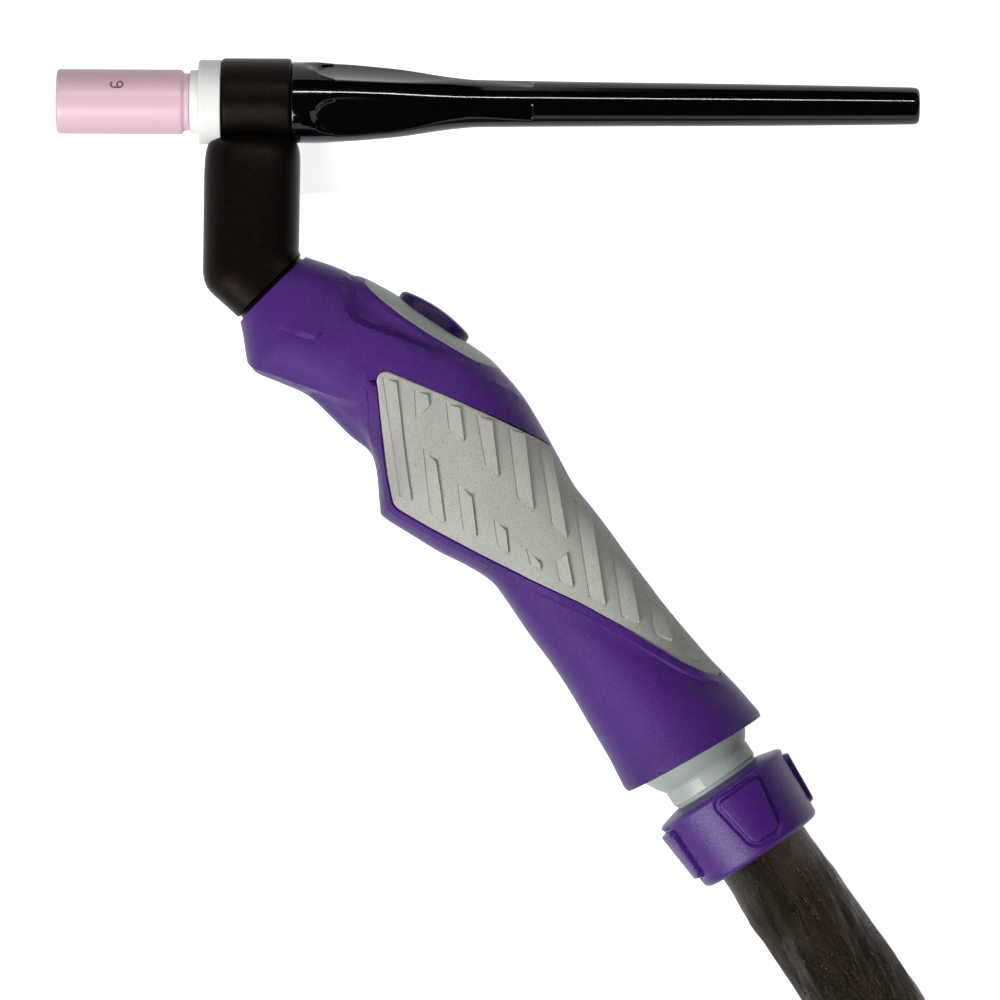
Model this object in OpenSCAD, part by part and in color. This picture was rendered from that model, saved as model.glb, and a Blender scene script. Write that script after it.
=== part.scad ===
// TIG torch with a knuckle handle, lying on its side.
// Origin: centre of the gas cup's mouth. +X runs along the head to the back cap,
// Z = 0 is the plane that the two handle shells meet in, and the torch lies on z = floor_z.

/* [Gas cup and front end] */
// Outside diameter of the gas cup
cup_d = 16.2; // [14:0.1:19]
// Bore of the gas cup, 9.5 for size 6
cup_bore_d = 9.5; // [9:0.1:10.5]
// Length of the gas cup
cup_l = 33.2; // [28:0.1:40]
// Diameter of the tungsten electrode
electrode_d = 2.4; // [1.6:0.1:3.2]
// Length of the tungsten electrode
electrode_l = 150; // [120:1:165]
// How far the electrode's tip is set back in the cup
tip_setback = 8; // [7:0.5:10]
// Outside diameter of the heat shield's flange
shield_d = 21.1; // [20:0.1:25]

/* [Head and back cap] */
// Outside diameter of the rubber head
head_d = 20.3; // [18:0.1:24]
// Length of the rubber head
head_l = 17.6; // [16:0.1:22]
// Length of the long back cap
cap_l = 156.8; // [145:0.1:190]
// Width of the neck, seen from the side
neck_w = 24; // [22:0.1:26]
// Outside diameter of the copper neck tube
neck_tube_d = 9; // [8:0.1:10]

/* [Handle] */
// Length of the handle from nose to rear rim
handle_l = 156.5; // [150:0.5:190]
// Thickness of the handle's grip
grip_t = 36.8; // [34:0.1:44]
// Wall of the handle shells
shell_wall = 2.4; // [2:0.1:3]
// Thickness of the ribbed grip panels
panel_t = 1.4; // [1:0.1:1.6]
// Length of the switch button
button_l = 20.3; // [17:0.1:24]
// Width of the switch button
button_w = 12; // [10:0.1:14]
// Travel of the switch button
button_travel = 1.6; // [1:0.1:1.8]
// Diameter of the shell screws
screw_d = 3; // [2.6:0.1:3.4]

/* [Knuckle and cable] */
// Diameter of the knuckle's ball
ball_d = 31.4; // [28:0.1:33]
// Bore through the ball stem
stem_bore_d = 15; // [14.6:0.1:16]
// Outside diameter of the clamp nut's front
nut_d = 36.2; // [34:0.1:38]
// Length of the clamp nut
nut_l = 20.3; // [19:0.1:24]
// Diameter of the leather cable sleeve
sleeve_d = 25; // [23:0.1:25.4]
// Diameter of the power and gas hose
hose_d = 12; // [11:0.1:12.2]
// Diameter of the bayonet power plug's pin
plug_pin_d = 13; // [11:0.1:14]

/* [Hidden] */
$fn = 64;
slip = 0.06;          // radial running clearance of a slide or screw fit
gap = 0.3;            // clearance between curved faces that move past each other
seam = 0.1;           // gap between neighbouring mouldings
over = 1;             // how far a cutter runs past what it cuts
far = 400;            // larger than the torch
floor_z = -19.6;

// ---- stations of the front end along X
shield_front = cup_l + seam;
shield_step = shield_front + 2.2;
head_front = shield_front + 7.8;
head_end = head_front + head_l;
cap_front = head_end + seam;
cap_end = cap_front + cap_l;
cup_shank_l = 1.9;
thread_r = cup_bore_d / 2 - slip;
thread_front = 24;
thread_end = head_front + 6;
collet_body_nose = tip_setback + 4;
collet_body_r = 3.6;
collet_r = 2.1;
core_r = 8;
core_spigot_r = thread_r + 0.9;
cap_spigot_l = 8.2;
cap_spigot_r = 5.3;
flute_r = 20;
flute_floor = 7.8;
flute_from = 14;
flute_l = 38;
flute_lean = 2.5;
flute_turn = 25;
collet_end = cap_front - cap_spigot_l - 0.2;
ring_r = 0.9;
ring_x = cap_front - 2;

// ---- neck: pairs of outline points [left, right], half thickness
neck_x = head_front + 7.8;
neck_r = neck_w / 2;
neck_t = 10;
nose = [54.1, -46.9];
nose_angle = -45;
nose_hole_r = 9.4;
elbow = [neck_x, -41.7];
neck_stations = [
    [[neck_x - 10, -8], [neck_x + 11, -8], 8.6],
    [[neck_x - neck_r + 0.4, -12.4], [neck_x + neck_r, -12.2], 9.6],
    [[neck_x - neck_r, -17], [neck_x + neck_r, -17], neck_t],
    [[neck_x - neck_r - 0.2, -43.7], [neck_x + neck_r - 0.2, -35.5], neck_t],
    [[neck_x - neck_r + 1, -46.9], [neck_x + neck_r - 0.4, -37], neck_t],
    [[neck_x - neck_r + 8.6, -53.6], [neck_x + neck_r + 0.2, -38], 9.9]
];
neck_tube_reach = 22;
neck_tube_wall = 1.5;
neck_step = 0.2;
elbow_r = neck_tube_d / 2 + 0.9;
elbow_h = neck_tube_d + 1;
elbow_bore_r = elbow_r - 1.2 * neck_tube_wall;
elbow_bore_h = neck_tube_d - 3.4 * neck_tube_wall;
clamp_from = 6;
clamp_to = 16;

// ---- handle: spine point [u, v], belly point [u, v], half thickness, bluntness;
// u runs down the handle and v towards the switch
handle_turn = -50;
rear_turn = -10;
rim_r = ball_d / 2 + 3.8;
rim_centre = [handle_l, 7.2];
ball_depth = 6;
stretch = handle_l / 156.5;
swell = grip_t / 36.8;
flare = 0.12;
rear_axis = [cos(rear_turn), sin(rear_turn)];
rear_side = [-sin(rear_turn), cos(rear_turn)];
grip_outline = [
    [[-0.9, 11.8], [1.1, -11.3], 11.6, 2.3],
    [[4.7, 15.3], [5.5, -13.5], 13.4, 2.5],
    [[9.4, 17.8], [11.4, -16.1], 14.4, 2.6],
    [[12.7, 19.8], [13.8, -16.1], 15, 2.6],
    [[20.8, 23.1], [19.5, -13.1], 15.6, 2.6],
    [[28.5, 25.4], [26, -10], 16, 2.6],
    [[35, 27.3], [34, -8.9], 16.4, 2.6],
    [[41.6, 29.2], [40.4, -8.3], 16.8, 2.6],
    [[47, 30.7], [46.8, -7.1], 17.2, 2.6],
    [[51.5, 31.2], [51.7, -9], 17.6, 2.6],
    [[56.8, 31.4], [59, -14], 18, 2.6],
    [[62.7, 31.1], [61.6, -14.8], 18.2, 2.6],
    [[72.9, 29.4], [70, -12.1], 18.4, 2.6],
    [[80, 28], [77, -9.7], 18.2, 2.6],
    [[86, 26.9], [84, -6.6], 17.9, 2.6],
    [[92, 26.8], [90.4, -4.5], 17.5, 2.5],
    [[98, 26.6], [95.5, -4.4], 17.2, 2.5],
    [[109, 25.9], [106.9, -5.5], 16.9, 2.4],
    [[117, 25.5], [115.7, -5.9], 16.8, 2.3],
    [[125, 25.2], [124.3, -6.8], 16.9, 2.2],
    [[139.5, 25.4], [133.6, -8.3], 17.5, 2.1]
];
rear_steps = [10, 5, 0];

// ---- grip panel outline and screw places, in the handle's u and v
panel_outline = [
    [33.4, 6.3], [33.7, 8.9], [49.5, 17.2], [62.1, 23.4], [71.5, 27.7], [74, 28],
    [86, 25.6], [98, 25.2], [109, 24.6], [125, 23.9], [139.5, 24.3], [144.6, 24.4],
    [145, 23.8], [142.6, 22], [136.7, 19.4], [122.7, 14.5], [109.2, 9.2],
    [96.4, 3.2], [83.3, -2.5], [70, -8], [62.6, -10.7], [60.9, -10.9],
    [59.6, -10.4], [54.6, -7.7], [46.3, -2.5]
];
panel_from = 3;
screw_places = [[14, -11.4], [58, 25.6], [60.5, -9.2], [112, -0.4]];
boss_r = 3.4;
screw_head_r = 2.8;
screw_head_z = -9;

// ---- switch: x runs along the spine, y out of it
button_at = [31.2, 26.1];
button_turn = 15.8;
button_crown_r = 36;
button_proud = 3.3;
bezel_l = 39.2;
bezel_w = 25;
bezel_t = 2;
flange_top = -4.6;
flange_t = 1.2;
switch_top = -10.4;
switch_h = 6.5;
shelf_y = switch_top - switch_h - 0.2;
switch_l = 13;
switch_w = 8;
plunger_r = 1.4;
plunger_depth = 2.4;
post_l = 3.2;
spring_r = 3.4;
spring_wire_r = 0.35;
spring_turns = 4;

// ---- knuckle: distances along the stem from the ball's centre
ball_r = ball_d / 2;
seat_wall = 0.9;
seat_r = ball_r + gap + seat_wall;
seat_back = -3.6;
seat_front = ball_depth - 1.5;
stem_turn = -55.7;
stem_neck_r = 11.9;
stem_neck_from = sqrt(ball_r * ball_r - stem_neck_r * stem_neck_r);
nut_from = 15.4;
nut_thread_r = 11.4;
stem_end = nut_from + 11.6;
nut_end = nut_from + nut_l;
cavity_from = stem_end + 0.6;
cavity_to = nut_end - 1.7;
sleeve_r = sleeve_d / 2;
clamp_ring_in = sleeve_r + gap;
clamp_ring_out = clamp_ring_in + 1.4;
cavity_r = clamp_ring_out + 0.2;
nut_rear_r = nut_d / 2 - 1.5;
lug_h = 1.1;
lug_turn = -10;

// ---- hose and wires inside the handle, in its u and v, and through the ball beside the stem's axis
hose_in_handle = [[22.1, 1.93], [23.5, 2.05], [26, 1.7], [30, 0.5], [36, 0.5], [42, 1.8], [56, 4.6],
    [70, 6.6], [85, 8.3], [100, 9.2], [115, 9.7], [128, 9.3]];
wires_in_handle = [[42.2, 14.3], [50, 13.8], [60, 13.4], [75, 14.2], [90, 15.3], [105, 16.3],
    [118, 16.7], [128, 16.4]];
stem_axis = [cos(stem_turn), sin(stem_turn)];
stem_side = [-sin(stem_turn), cos(stem_turn)];
hose_offset = -1.5;
wire_offset = 5.3;
inner_hose_r = 5;
wires_r = 1.3;

// ---- cable: points on the floor, chosen by hand for a ball whose centre is at cable_ball
cable_ball = [157.2, -156.96];
sleeve_from = stem_end + 4.2;
route = [
    [each cable_ball + sleeve_from * stem_axis, 0], [each cable_ball + nut_end * stem_axis, 0],
    [188.6, -202.9, -0.8], [199.8, -219.4, -2.4],
    [210, -235, -4.2], [219, -250, -5.8], [230.8, -274.4, -7], [240.1, -299.9, -7.1],
    [246.8, -326.1, -7.1], [250.8, -352.9, -7.1]
];
loop_centre = [114, -380];
loop_r = 138;
loop_end = 78;
sleeve_z = floor_z + sleeve_r;
boot_l = 34;
hose_r = hose_d / 2;
tie_t = 0.8;
hose_z = floor_z + tie_t + hose_r;
coil_top = hose_z + hose_r;
coil_out = 117;
coil_in = 50;
tie_turns = [90, 225, 330];
tie_w = 14;
run_points = [
    [149, -246.6, -7.1], [163, -249.4, -7.6], [176, -252.4, -8.8], [188, -258, -10.2], [198.6, -267.5, -11.4],
    [207.5, -280, -12.2], [215, -294.5, -12.7], [221, -310.5, -12.8], [225.5, -328, -12.8]
];
tail_points = [
    [73, -408.7, -12.8], [66.4, -396, -12.8], [64, -382, -11.4], [65.6, -368, -9.4],
    [71, -355.2, -6.8], [81, -342.6, -3.6], [94, -334.2, -0.3], [109.5, -329.8, 0.1],
    [127, -328.6, 0.3], [144, -331.6, 1], [159, -338.6, 2.6], [170.6, -349, 4.8],
    [180.4, -362.4, 6.8], [184.7, -375.4, 7.9], [183.8, -388, 8.1]
];
plug_at = [183.8, -388, 8.1];
plug_turn = -94;
plug_tilt = 3.2;
plug_body_r = 14;
plug_body_l = 68;
plug_pin_l = 24;
plug_root_l = 13.9;
plug_bore_r = 2.5;
bayonet_w = 4.8;
bayonet_depth = 1.6;
lead_d = 5;
lead_r = lead_d / 2;
lead_z = coil_top + tie_t + lead_r;
lead_points = [
    [191.5, -400, 7], [196, -389, 5.2], [199.6, -377, 2], [202, -364, -1.4],
    [203, -350, lead_z], [198.4, -338, lead_z], [190, -326, lead_z], [179, -311, lead_z], [165, -299, lead_z],
    [147, -290.5, lead_z], [128, -286, lead_z], [108, -285.5, lead_z], [89, -289.5, lead_z],
    [71, -297.5, lead_z], [55, -309.5, lead_z], [42, -325, lead_z], [33, -343, lead_z],
    [28.8, -357, lead_z], [27, -371, lead_z], [27.6, -386, -0.8], [30, -400, 2.3], [33.4, -412, 2.5]
];
control_at = [33.4, -412, 2.5];
control_turn = -74;

// ---------------------------------------------------------------- helpers

function unit(v) = v / norm(v);

// A point of the handle's u and v in the torch's X and Y
function place(p) = [
    nose[0] + p[0] * cos(handle_turn) - p[1] * sin(handle_turn),
    nose[1] + p[0] * sin(handle_turn) + p[1] * cos(handle_turn)
];

function curve(t, power) = sign(t) * pow(abs(t), 2 / power);

// A closed skin over rings that all have the same number of points and turn the same way,
// anticlockwise for someone whom the next ring comes towards
module skin(rings) {
    n = len(rings);
    m = len(rings[0]);
    points = [for (ring = rings) each ring];
    sides = [for (i = [0 : n - 2], j = [0 : m - 1])
        let (k = (j + 1) % m)
        each [[i * m + j, (i + 1) * m + k, i * m + k], [i * m + j, (i + 1) * m + j, (i + 1) * m + k]]];
    first = [[for (j = [0 : m - 1]) j]];
    last = [[for (j = [m - 1 : -1 : 0]) (n - 1) * m + j]];
    polyhedron(points, concat(sides, first, last), convexity = 6);
}

// The ring of one station: a rounded outline between two points of the Z = 0 plane
function station_ring(a, b, t, power, inset, sides) =
    let (c = (a + b) / 2, half = norm(a - b) / 2 - inset, side = unit(a - b))
    [for (k = [0 : sides - 1])
        let (f = 360 * k / sides, across = half * curve(cos(f), power),
            up = (t - inset) * curve(sin(f), power))
        [c[0] + side[0] * across, c[1] + side[1] * across, up]];

// A round tube swept along points that never run straight up
module sweep(p, r, sides) {
    n = len(p);
    skin([for (i = [0 : n - 1])
        let (
            d = unit(p[min(i + 1, n - 1)] - p[max(i - 1, 0)]),
            side = unit(cross(d, [0, 0, 1])),
            up = cross(side, d)
        )
        [for (k = [0 : sides - 1]) p[i] + r * (cos(360 * k / sides) * side - sin(360 * k / sides) * up)]]);
}

// Children's Z axis laid along X
module along_x(x) translate([x, 0, 0]) rotate([0, 90, 0]) children();

module on_nose_axis(s) translate([nose[0], nose[1], 0]) rotate([0, 0, nose_angle]) along_x(s) children();

module slot_prism(l, w, h) {
    cube([l - w, h, w], center = true);
    for (side = [-1, 1]) translate([side * (l - w) / 2, 0, 0])
        rotate([90, 0, 0]) cylinder(d = w, h = h, center = true);
}

module ring(r_out, r_in, from, to) difference() {
    translate([0, 0, from]) cylinder(r = r_out, h = to - from);
    translate([0, 0, from - over]) cylinder(r = r_in, h = to - from + 2 * over);
}

// ---------------------------------------------------------------- front end

module gas_cup() color("#EFC5DA") difference() {
    rotate([0, 90, 0]) rotate_extrude() polygon([
        [0, 0], [cup_d / 2, 0], [cup_d / 2, cup_l - cup_shank_l],
        [cup_d / 2 - 0.9, cup_l - cup_shank_l + 0.6], [cup_d / 2 - 0.9, cup_l], [0, cup_l]]);
    along_x(-over) cylinder(d = cup_bore_d, h = cup_l + 2 * over);
}

module heat_shield() color("#F4F4F0") along_x(0) difference() {
    union() {
        translate([0, 0, shield_front]) cylinder(d = cup_d - 0.2, h = shield_step - shield_front);
        translate([0, 0, shield_step]) cylinder(d = shield_d, h = head_front - shield_step);
    }
    translate([0, 0, shield_front - over]) cylinder(r = thread_r + 0.2, h = far);
    translate([0, 0, shield_step]) cylinder(r = core_spigot_r + seam, h = far);
}

module collet_body() color("#B87A4A") along_x(0) difference() {
    union() {
        translate([0, 0, collet_body_nose]) cylinder(r = collet_body_r, h = thread_front - collet_body_nose);
        translate([0, 0, thread_front]) cylinder(r = thread_r, h = thread_end - thread_front);
    }
    translate([0, 0, collet_body_nose - over]) cylinder(d = electrode_d + 0.4, h = far);
    translate([0, 0, collet_body_nose + 3]) cylinder(r = collet_r + slip, h = far);
    for (a = [45 : 90 : 315]) rotate([0, 0, a]) translate([0, 0, collet_body_nose + 7])
        rotate([0, 90, 0]) cylinder(r = 0.7, h = collet_body_r + over);
}

module collet() color("#C08552") along_x(0) difference() {
    translate([0, 0, collet_body_nose + 3.2]) cylinder(r = collet_r, h = collet_end - collet_body_nose - 3.2);
    translate([0, 0, collet_body_nose]) cylinder(d = electrode_d + 2 * slip, h = far);
    translate([-0.25, -over - collet_r, collet_body_nose]) cube([0.5, 2 * (over + collet_r), 18]);
}

module tungsten_electrode() color("#8C8F94") along_x(tip_setback) union() {
    cylinder(d1 = 0.3, d2 = electrode_d, h = 6);
    translate([0, 0, 6]) cylinder(d = electrode_d, h = electrode_l - 6);
}

module head_body() color("#B9975B") difference() {
    along_x(0) union() {
        translate([0, 0, shield_step + 0.3]) cylinder(r = core_spigot_r, h = head_front - shield_step);
        translate([0, 0, head_front]) cylinder(r = core_r, h = head_l - 0.1);
    }
    along_x(shield_step) cylinder(r = thread_r + slip, h = thread_end - shield_step);
    along_x(shield_step) cylinder(r = collet_r + 0.5, h = far);
    along_x(cap_front - cap_spigot_l - 0.6) cylinder(r = cap_spigot_r + slip, h = far);
    along_x(ring_x - ring_r - 0.3) cylinder(r = cap_spigot_r + 1.1, h = far);
    translate([neck_x, -core_r - over, 0]) rotate([-90, 0, 0]) cylinder(d = neck_tube_d, h = over + 1.5);
}

module head_cover() color("#16130F") difference() {
    union() {
        along_x(head_front) cylinder(d = head_d, h = head_l);
        skin([for (s = neck_stations) station_ring(s[1], s[0], s[2], 2.7, 0, 32)]);
        on_nose_axis(-2.5) cylinder(r = nose_hole_r - 0.2, h = 7.5);
    }
    along_x(head_front - over) cylinder(r = core_r + 0.02, h = head_l + 2 * over);
    along_x(0) cylinder(d = shield_d + 2 * seam, h = head_front);
    along_x(head_end) cylinder(d = head_d + 2 * seam, h = far);
    translate([neck_x, -core_r + over, 0]) rotate([90, 0, 0])
        cylinder(r = neck_tube_d / 2 + seam, h = -elbow[1] - core_r + over);
    translate([elbow[0], elbow[1], 0]) rotate([0, 0, nose_angle]) along_x(0)
        cylinder(r = neck_tube_d / 2 + seam, h = neck_tube_reach);
    translate([elbow[0], elbow[1], 0]) cylinder(r = elbow_r + seam, h = elbow_h + 2 * seam, center = true);
}

// The neck tube's outline: a length from the head and one into the handle meet in an upright elbow block
module neck_tube_form(r, block_r, block_h, past) union() {
    translate([neck_x, -core_r + 1.3 + past, 0]) rotate([90, 0, 0])
        cylinder(r = r - neck_step, h = -elbow[1] - core_r + 1.3 + past);
    translate([elbow[0], elbow[1], 0]) rotate([0, 0, nose_angle]) along_x(0)
        cylinder(r = r, h = norm(nose - elbow) + neck_tube_reach + past);
    translate([elbow[0], elbow[1], 0]) cylinder(r = block_r, h = block_h, center = true);
}

module neck_tube() color("#B4713D") difference() {
    neck_tube_form(neck_tube_d / 2, elbow_r, elbow_h, 0);
    neck_tube_form(neck_tube_d / 2 - neck_tube_wall, elbow_bore_r, elbow_bore_h, over);
}

module neck_clamp() color("#2B2B2D") on_nose_axis(0) difference() {
    union() {
        ring(8.4, neck_tube_d / 2 + seam, clamp_from, clamp_to);
        ring(10.4, neck_tube_d / 2 + seam, clamp_from, clamp_from + 2);
    }
    translate([-0.5, 0, clamp_from - over]) cube([1, 20, clamp_to]);
}

// ---------------------------------------------------------------- back cap

module back_cap() color("#08080A") difference() {
    along_x(0) rotate_extrude() polygon([
        [0, cap_front - cap_spigot_l], [cap_spigot_r - 0.4, cap_front - cap_spigot_l],
        [cap_spigot_r, cap_front - cap_spigot_l + 0.4], [cap_spigot_r, ring_x - ring_r - 0.1],
        [cap_spigot_r - ring_r, ring_x - ring_r - 0.1], [cap_spigot_r - ring_r, ring_x + ring_r + 0.1],
        [cap_spigot_r, ring_x + ring_r + 0.1], [cap_spigot_r, cap_front], [head_d / 2 - 0.5, cap_front],
        [head_d / 2, cap_front + 0.5], [head_d / 2, cap_front + 6], [head_d / 2 - 0.3, cap_front + 14],
        [head_d / 2 - 0.8, cap_front + 20], [8.5, cap_front + 27.6], [7, cap_front + 36.5],
        [6.3, cap_front + 42],
        [5.95, cap_front + 47], [5.6, cap_front + 77], [5.35, cap_front + 108], [5, cap_end - 19.6],
        [4.7, cap_end - 1.8], [4.4, cap_end - 0.6], [3.7, cap_end], [0, cap_end]]);
    along_x(cap_front - cap_spigot_l - over)
        cylinder(d = electrode_d + 1.6, h = cap_end - cap_front + cap_spigot_l - 3);
    for (k = [0 : 3]) along_x(0) rotate([0, 0, flute_turn + 90 * k])
        translate([flute_floor + flute_r, 0, cap_front + flute_from]) rotate([0, flute_lean, 0]) union() {
            sphere(r = flute_r);
            rotate([0, -2 * flute_lean, 0]) cylinder(r = flute_r - 0.05, h = flute_l);
        }
}

module back_cap_o_ring() color("#101010") along_x(ring_x)
    rotate_extrude() translate([cap_spigot_r, 0]) circle(r = ring_r, $fn = 24);

// ---------------------------------------------------------------- handle

function bulge(i) = 1 + (swell - 1) * sin(180 * i / len(grip_outline));

grip_stations = [for (i = [0 : len(grip_outline) - 1])
    let (s = grip_outline[i])
    [place([s[0][0] * stretch, s[0][1]]), place([s[1][0] * stretch, s[1][1]]), s[2] * bulge(i), s[3]]];
rear_stations = [for (d = rear_steps)
    let (c = rim_centre - d * rear_axis - [0, 0.08 * d], w = rim_r - flare * d)
    [place(c + w * rear_side), place(c - w * rear_side), w, 2]];
stations = concat(grip_stations, rear_stations);
rim_at = place(rim_centre);
ball_at = place(rim_centre - ball_depth * rear_axis);

module handle_form(inset) skin([for (s = stations) station_ring(s[0], s[1], s[2], s[3], inset, 32)]);

// The hollow of the shells: closed at the nose and open at the rim
module handle_hollow() {
    last = stations[len(stations) - 1];
    past = 2 * over * [cos(handle_turn + rear_turn), sin(handle_turn + rear_turn)];
    inner = concat(
        [for (i = [1 : len(stations) - 1]) stations[i]],
        [[last[0] + past, last[1] + past, last[2], last[3]]]
    );
    skin([for (s = inner) station_ring(s[0], s[1], s[2], s[3], shell_wall, 32)]);
}

module on_handle(p) translate([place(p)[0], place(p)[1], 0]) rotate([0, 0, handle_turn]) children();

module on_button() on_handle([button_at[0] * stretch, button_at[1]]) rotate([0, 0, button_turn]) children();

module on_rear(s)
    translate([ball_at[0], ball_at[1], 0]) rotate([0, 0, handle_turn + rear_turn]) along_x(s) children();

module on_stem(s) translate([ball_at[0], ball_at[1], 0]) rotate([0, 0, stem_turn]) along_x(s) children();

module panel_prism(grow) translate([0, 0, panel_from])
    linear_extrude(far) offset(delta = grow) polygon([for (p = panel_outline) place([p[0] * stretch, p[1]])]);

module bezel_prism(grow) on_button() slot_prism(bezel_l + 2 * grow, bezel_w + 2 * grow, 20);

// Everything inside one shell half that stands on its wall
module shell_ribs() intersection() {
    union() {
        for (p = screw_places) on_handle([p[0] * stretch, p[1]]) cylinder(r = boss_r, h = far);
        on_button() translate([-6, shelf_y - 2, seam]) cube([13, 2, far]);
        on_nose_axis(clamp_from + 3) cylinder(r = 14, h = 3);
        on_rear(seat_back - 2.2) cylinder(r = seat_r + 2, h = 2);
    }
    cylinder(r = far, h = far);
    handle_form(shell_wall / 2);
}

module shell_half() difference() {
    union() {
        difference() {
            handle_form(0);
            handle_hollow();
        }
        shell_ribs();
    }
    translate([0, 0, -far]) cylinder(r = far, h = far);
    difference() {
        panel_prism(0);
        handle_form(panel_t);
    }
    bezel_cut();
    on_nose_axis(-10) cylinder(r = nose_hole_r, h = 20);
    on_nose_axis(clamp_from) cylinder(r = 8.6, h = clamp_to);
    on_rear(seat_back - 0.2) cylinder(r = seat_r + 0.2, h = seat_front - seat_back + 0.3);
    on_rear(seat_back - 3) cylinder(r = seat_r - 1.4, h = far);
}

module bezel_cut() difference() {
    bezel_prism(0);
    on_button() translate([0, -13.4, 0]) cube([80, 14, 60], center = true);
}

module screw_holes(r) for (p = screw_places) on_handle([p[0] * stretch, p[1]])
    translate([0, 0, -far / 2]) cylinder(r = r, h = far);

module handle_shell_top() color("#4B1E7A") difference() {
    shell_half();
    intersection() {
        screw_holes(screw_d / 2 - 0.2);
        cylinder(r = far, h = 8);
    }
}

// The recesses that the screw heads lie in
module screw_recesses() for (p = screw_places) on_handle([p[0] * stretch, p[1]])
    translate([0, 0, screw_head_z - far]) cylinder(r = screw_head_r + gap, h = far);

module handle_shell_bottom() color("#4B1E7A") difference() {
    mirror([0, 0, 1]) shell_half();
    screw_holes(screw_d / 2 + 0.2);
    screw_recesses();
}

module grip_panel() intersection() {
    difference() {
        handle_form(0);
        handle_form(panel_t - seam);
    }
    panel_prism(-seam);
}

module grip_panel_top() color("#A9A9A0") grip_panel();

module grip_panel_bottom() color("#A9A9A0") difference() {
    mirror([0, 0, 1]) grip_panel();
    screw_recesses();
}

module shell_screws() color("#77797C") for (p = screw_places) on_handle([p[0] * stretch, p[1]]) difference() {
    union() {
        translate([0, 0, screw_head_z - 2]) cylinder(r = screw_head_r, h = 1.95);
        translate([0, 0, screw_head_z - 0.5]) cylinder(d = screw_d - 0.1, h = 0.5 - screw_head_z);
        cylinder(d = screw_d - 0.5, h = 7);
    }
    translate([0, 0, screw_head_z - 2.5]) cylinder(r = 1.3, h = 1.8, $fn = 6);
}

// ---------------------------------------------------------------- switch

module button_bezel() color("#A3AEA3") difference() {
    intersection() {
        difference() {
            handle_form(0);
            handle_form(bezel_t);
        }
        bezel_prism(-seam);
        on_button() translate([0, -6.3 + 10, 0]) cube([80, 20, 60], center = true);
    }
    on_button() slot_prism(button_l + 2 * gap, button_w + 2 * gap, 60);
}

module switch_button() color("#4B1E7A") on_button() {
    intersection() {
        translate([0, (flange_top + button_proud) / 2, 0])
            slot_prism(button_l, button_w, button_proud - flange_top);
        translate([0, button_proud - button_crown_r, 0]) cylinder(r = button_crown_r, h = far, center = true);
    }
    translate([0, flange_top - flange_t / 2, 0]) slot_prism(button_l + 2.4, button_w + 2.4, flange_t);
    rotate([90, 0, 0]) translate([0, 0, -flange_top]) cylinder(r = 1.8, h = post_l);
}

module button_spring() color("#9A9CA0") {
    base = flange_top - flange_t - 0.05 - spring_wire_r;
    drop = base - (switch_top + 0.05 + spring_wire_r);
    steps = spring_turns * 12;
    on_button() rotate([90, 0, 0]) translate([0, 0, -base]) skin([for (i = [0 : steps])
        let (a = 30 * i, z = drop * i / steps, out = [cos(a), sin(a), 0])
        [for (k = [0 : 5]) [0, 0, z] + (spring_r + spring_wire_r * cos(60 * k)) * out
            - [0, 0, spring_wire_r * sin(60 * k)]]]);
}

module switch_body() color("#1D1D20") on_button() difference() {
    translate([0, switch_top - switch_h / 2, 0]) cube([switch_l, switch_h, switch_w], center = true);
    rotate([90, 0, 0]) translate([0, 0, -switch_top - over])
        cylinder(r = plunger_r + 0.1, h = over + plunger_depth + button_travel + 0.4);
}

module switch_plunger() color("#B8423A") on_button() rotate([90, 0, 0])
    translate([0, 0, post_l - flange_top])
        cylinder(r = plunger_r, h = flange_top - post_l - switch_top + plunger_depth);

function through_ball(offset) =
    [for (s = [-12, -4, 8, 18, stem_end]) ball_at + offset * stem_side + s * stem_axis];

function flat(points) = [for (p = points) [p[0], p[1], 0]];

module inner_hose() color("#202124")
    sweep(flat(concat([for (p = hose_in_handle) place(p)], through_ball(hose_offset))), inner_hose_r, 12);

module switch_wires() color("#3A3A3D")
    sweep(flat(concat([for (p = wires_in_handle) place(p)], through_ball(wire_offset))), wires_r, 8);

// ---------------------------------------------------------------- knuckle

module ball_seat() color("#D8D8D2") difference() {
    on_rear(seat_back) cylinder(r = seat_r, h = seat_front - seat_back);
    on_rear(0) sphere(r = ball_r + gap, $fn = 96);
    on_rear(0) translate([-0.6, 0, seat_back - over]) cube([1.2, far, far]);
}

module ball_stem() color("#A9B5AF") on_stem(0) difference() {
    union() {
        intersection() {
            sphere(r = ball_r, $fn = 96);
            translate([0, 0, -9]) cylinder(r = far, h = 9 + stem_neck_from);
        }
        translate([0, 0, stem_neck_from - 0.5])
            cylinder(r = stem_neck_r, h = nut_from - 0.2 - stem_neck_from + 0.5);
        translate([0, 0, nut_from - 0.3]) cylinder(r = nut_thread_r, h = stem_end - nut_from + 0.3);
    }
    translate([0, 0, -10]) cylinder(d = stem_bore_d, h = far);
}

module clamp_ring() color("#C9C4B4") on_stem(0) difference() {
    ring(clamp_ring_out, clamp_ring_in, cavity_from + 0.3, cavity_to - 0.1);
    translate([-1, 0, cavity_from - over]) cube([2, 20, 20]);
}

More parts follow.
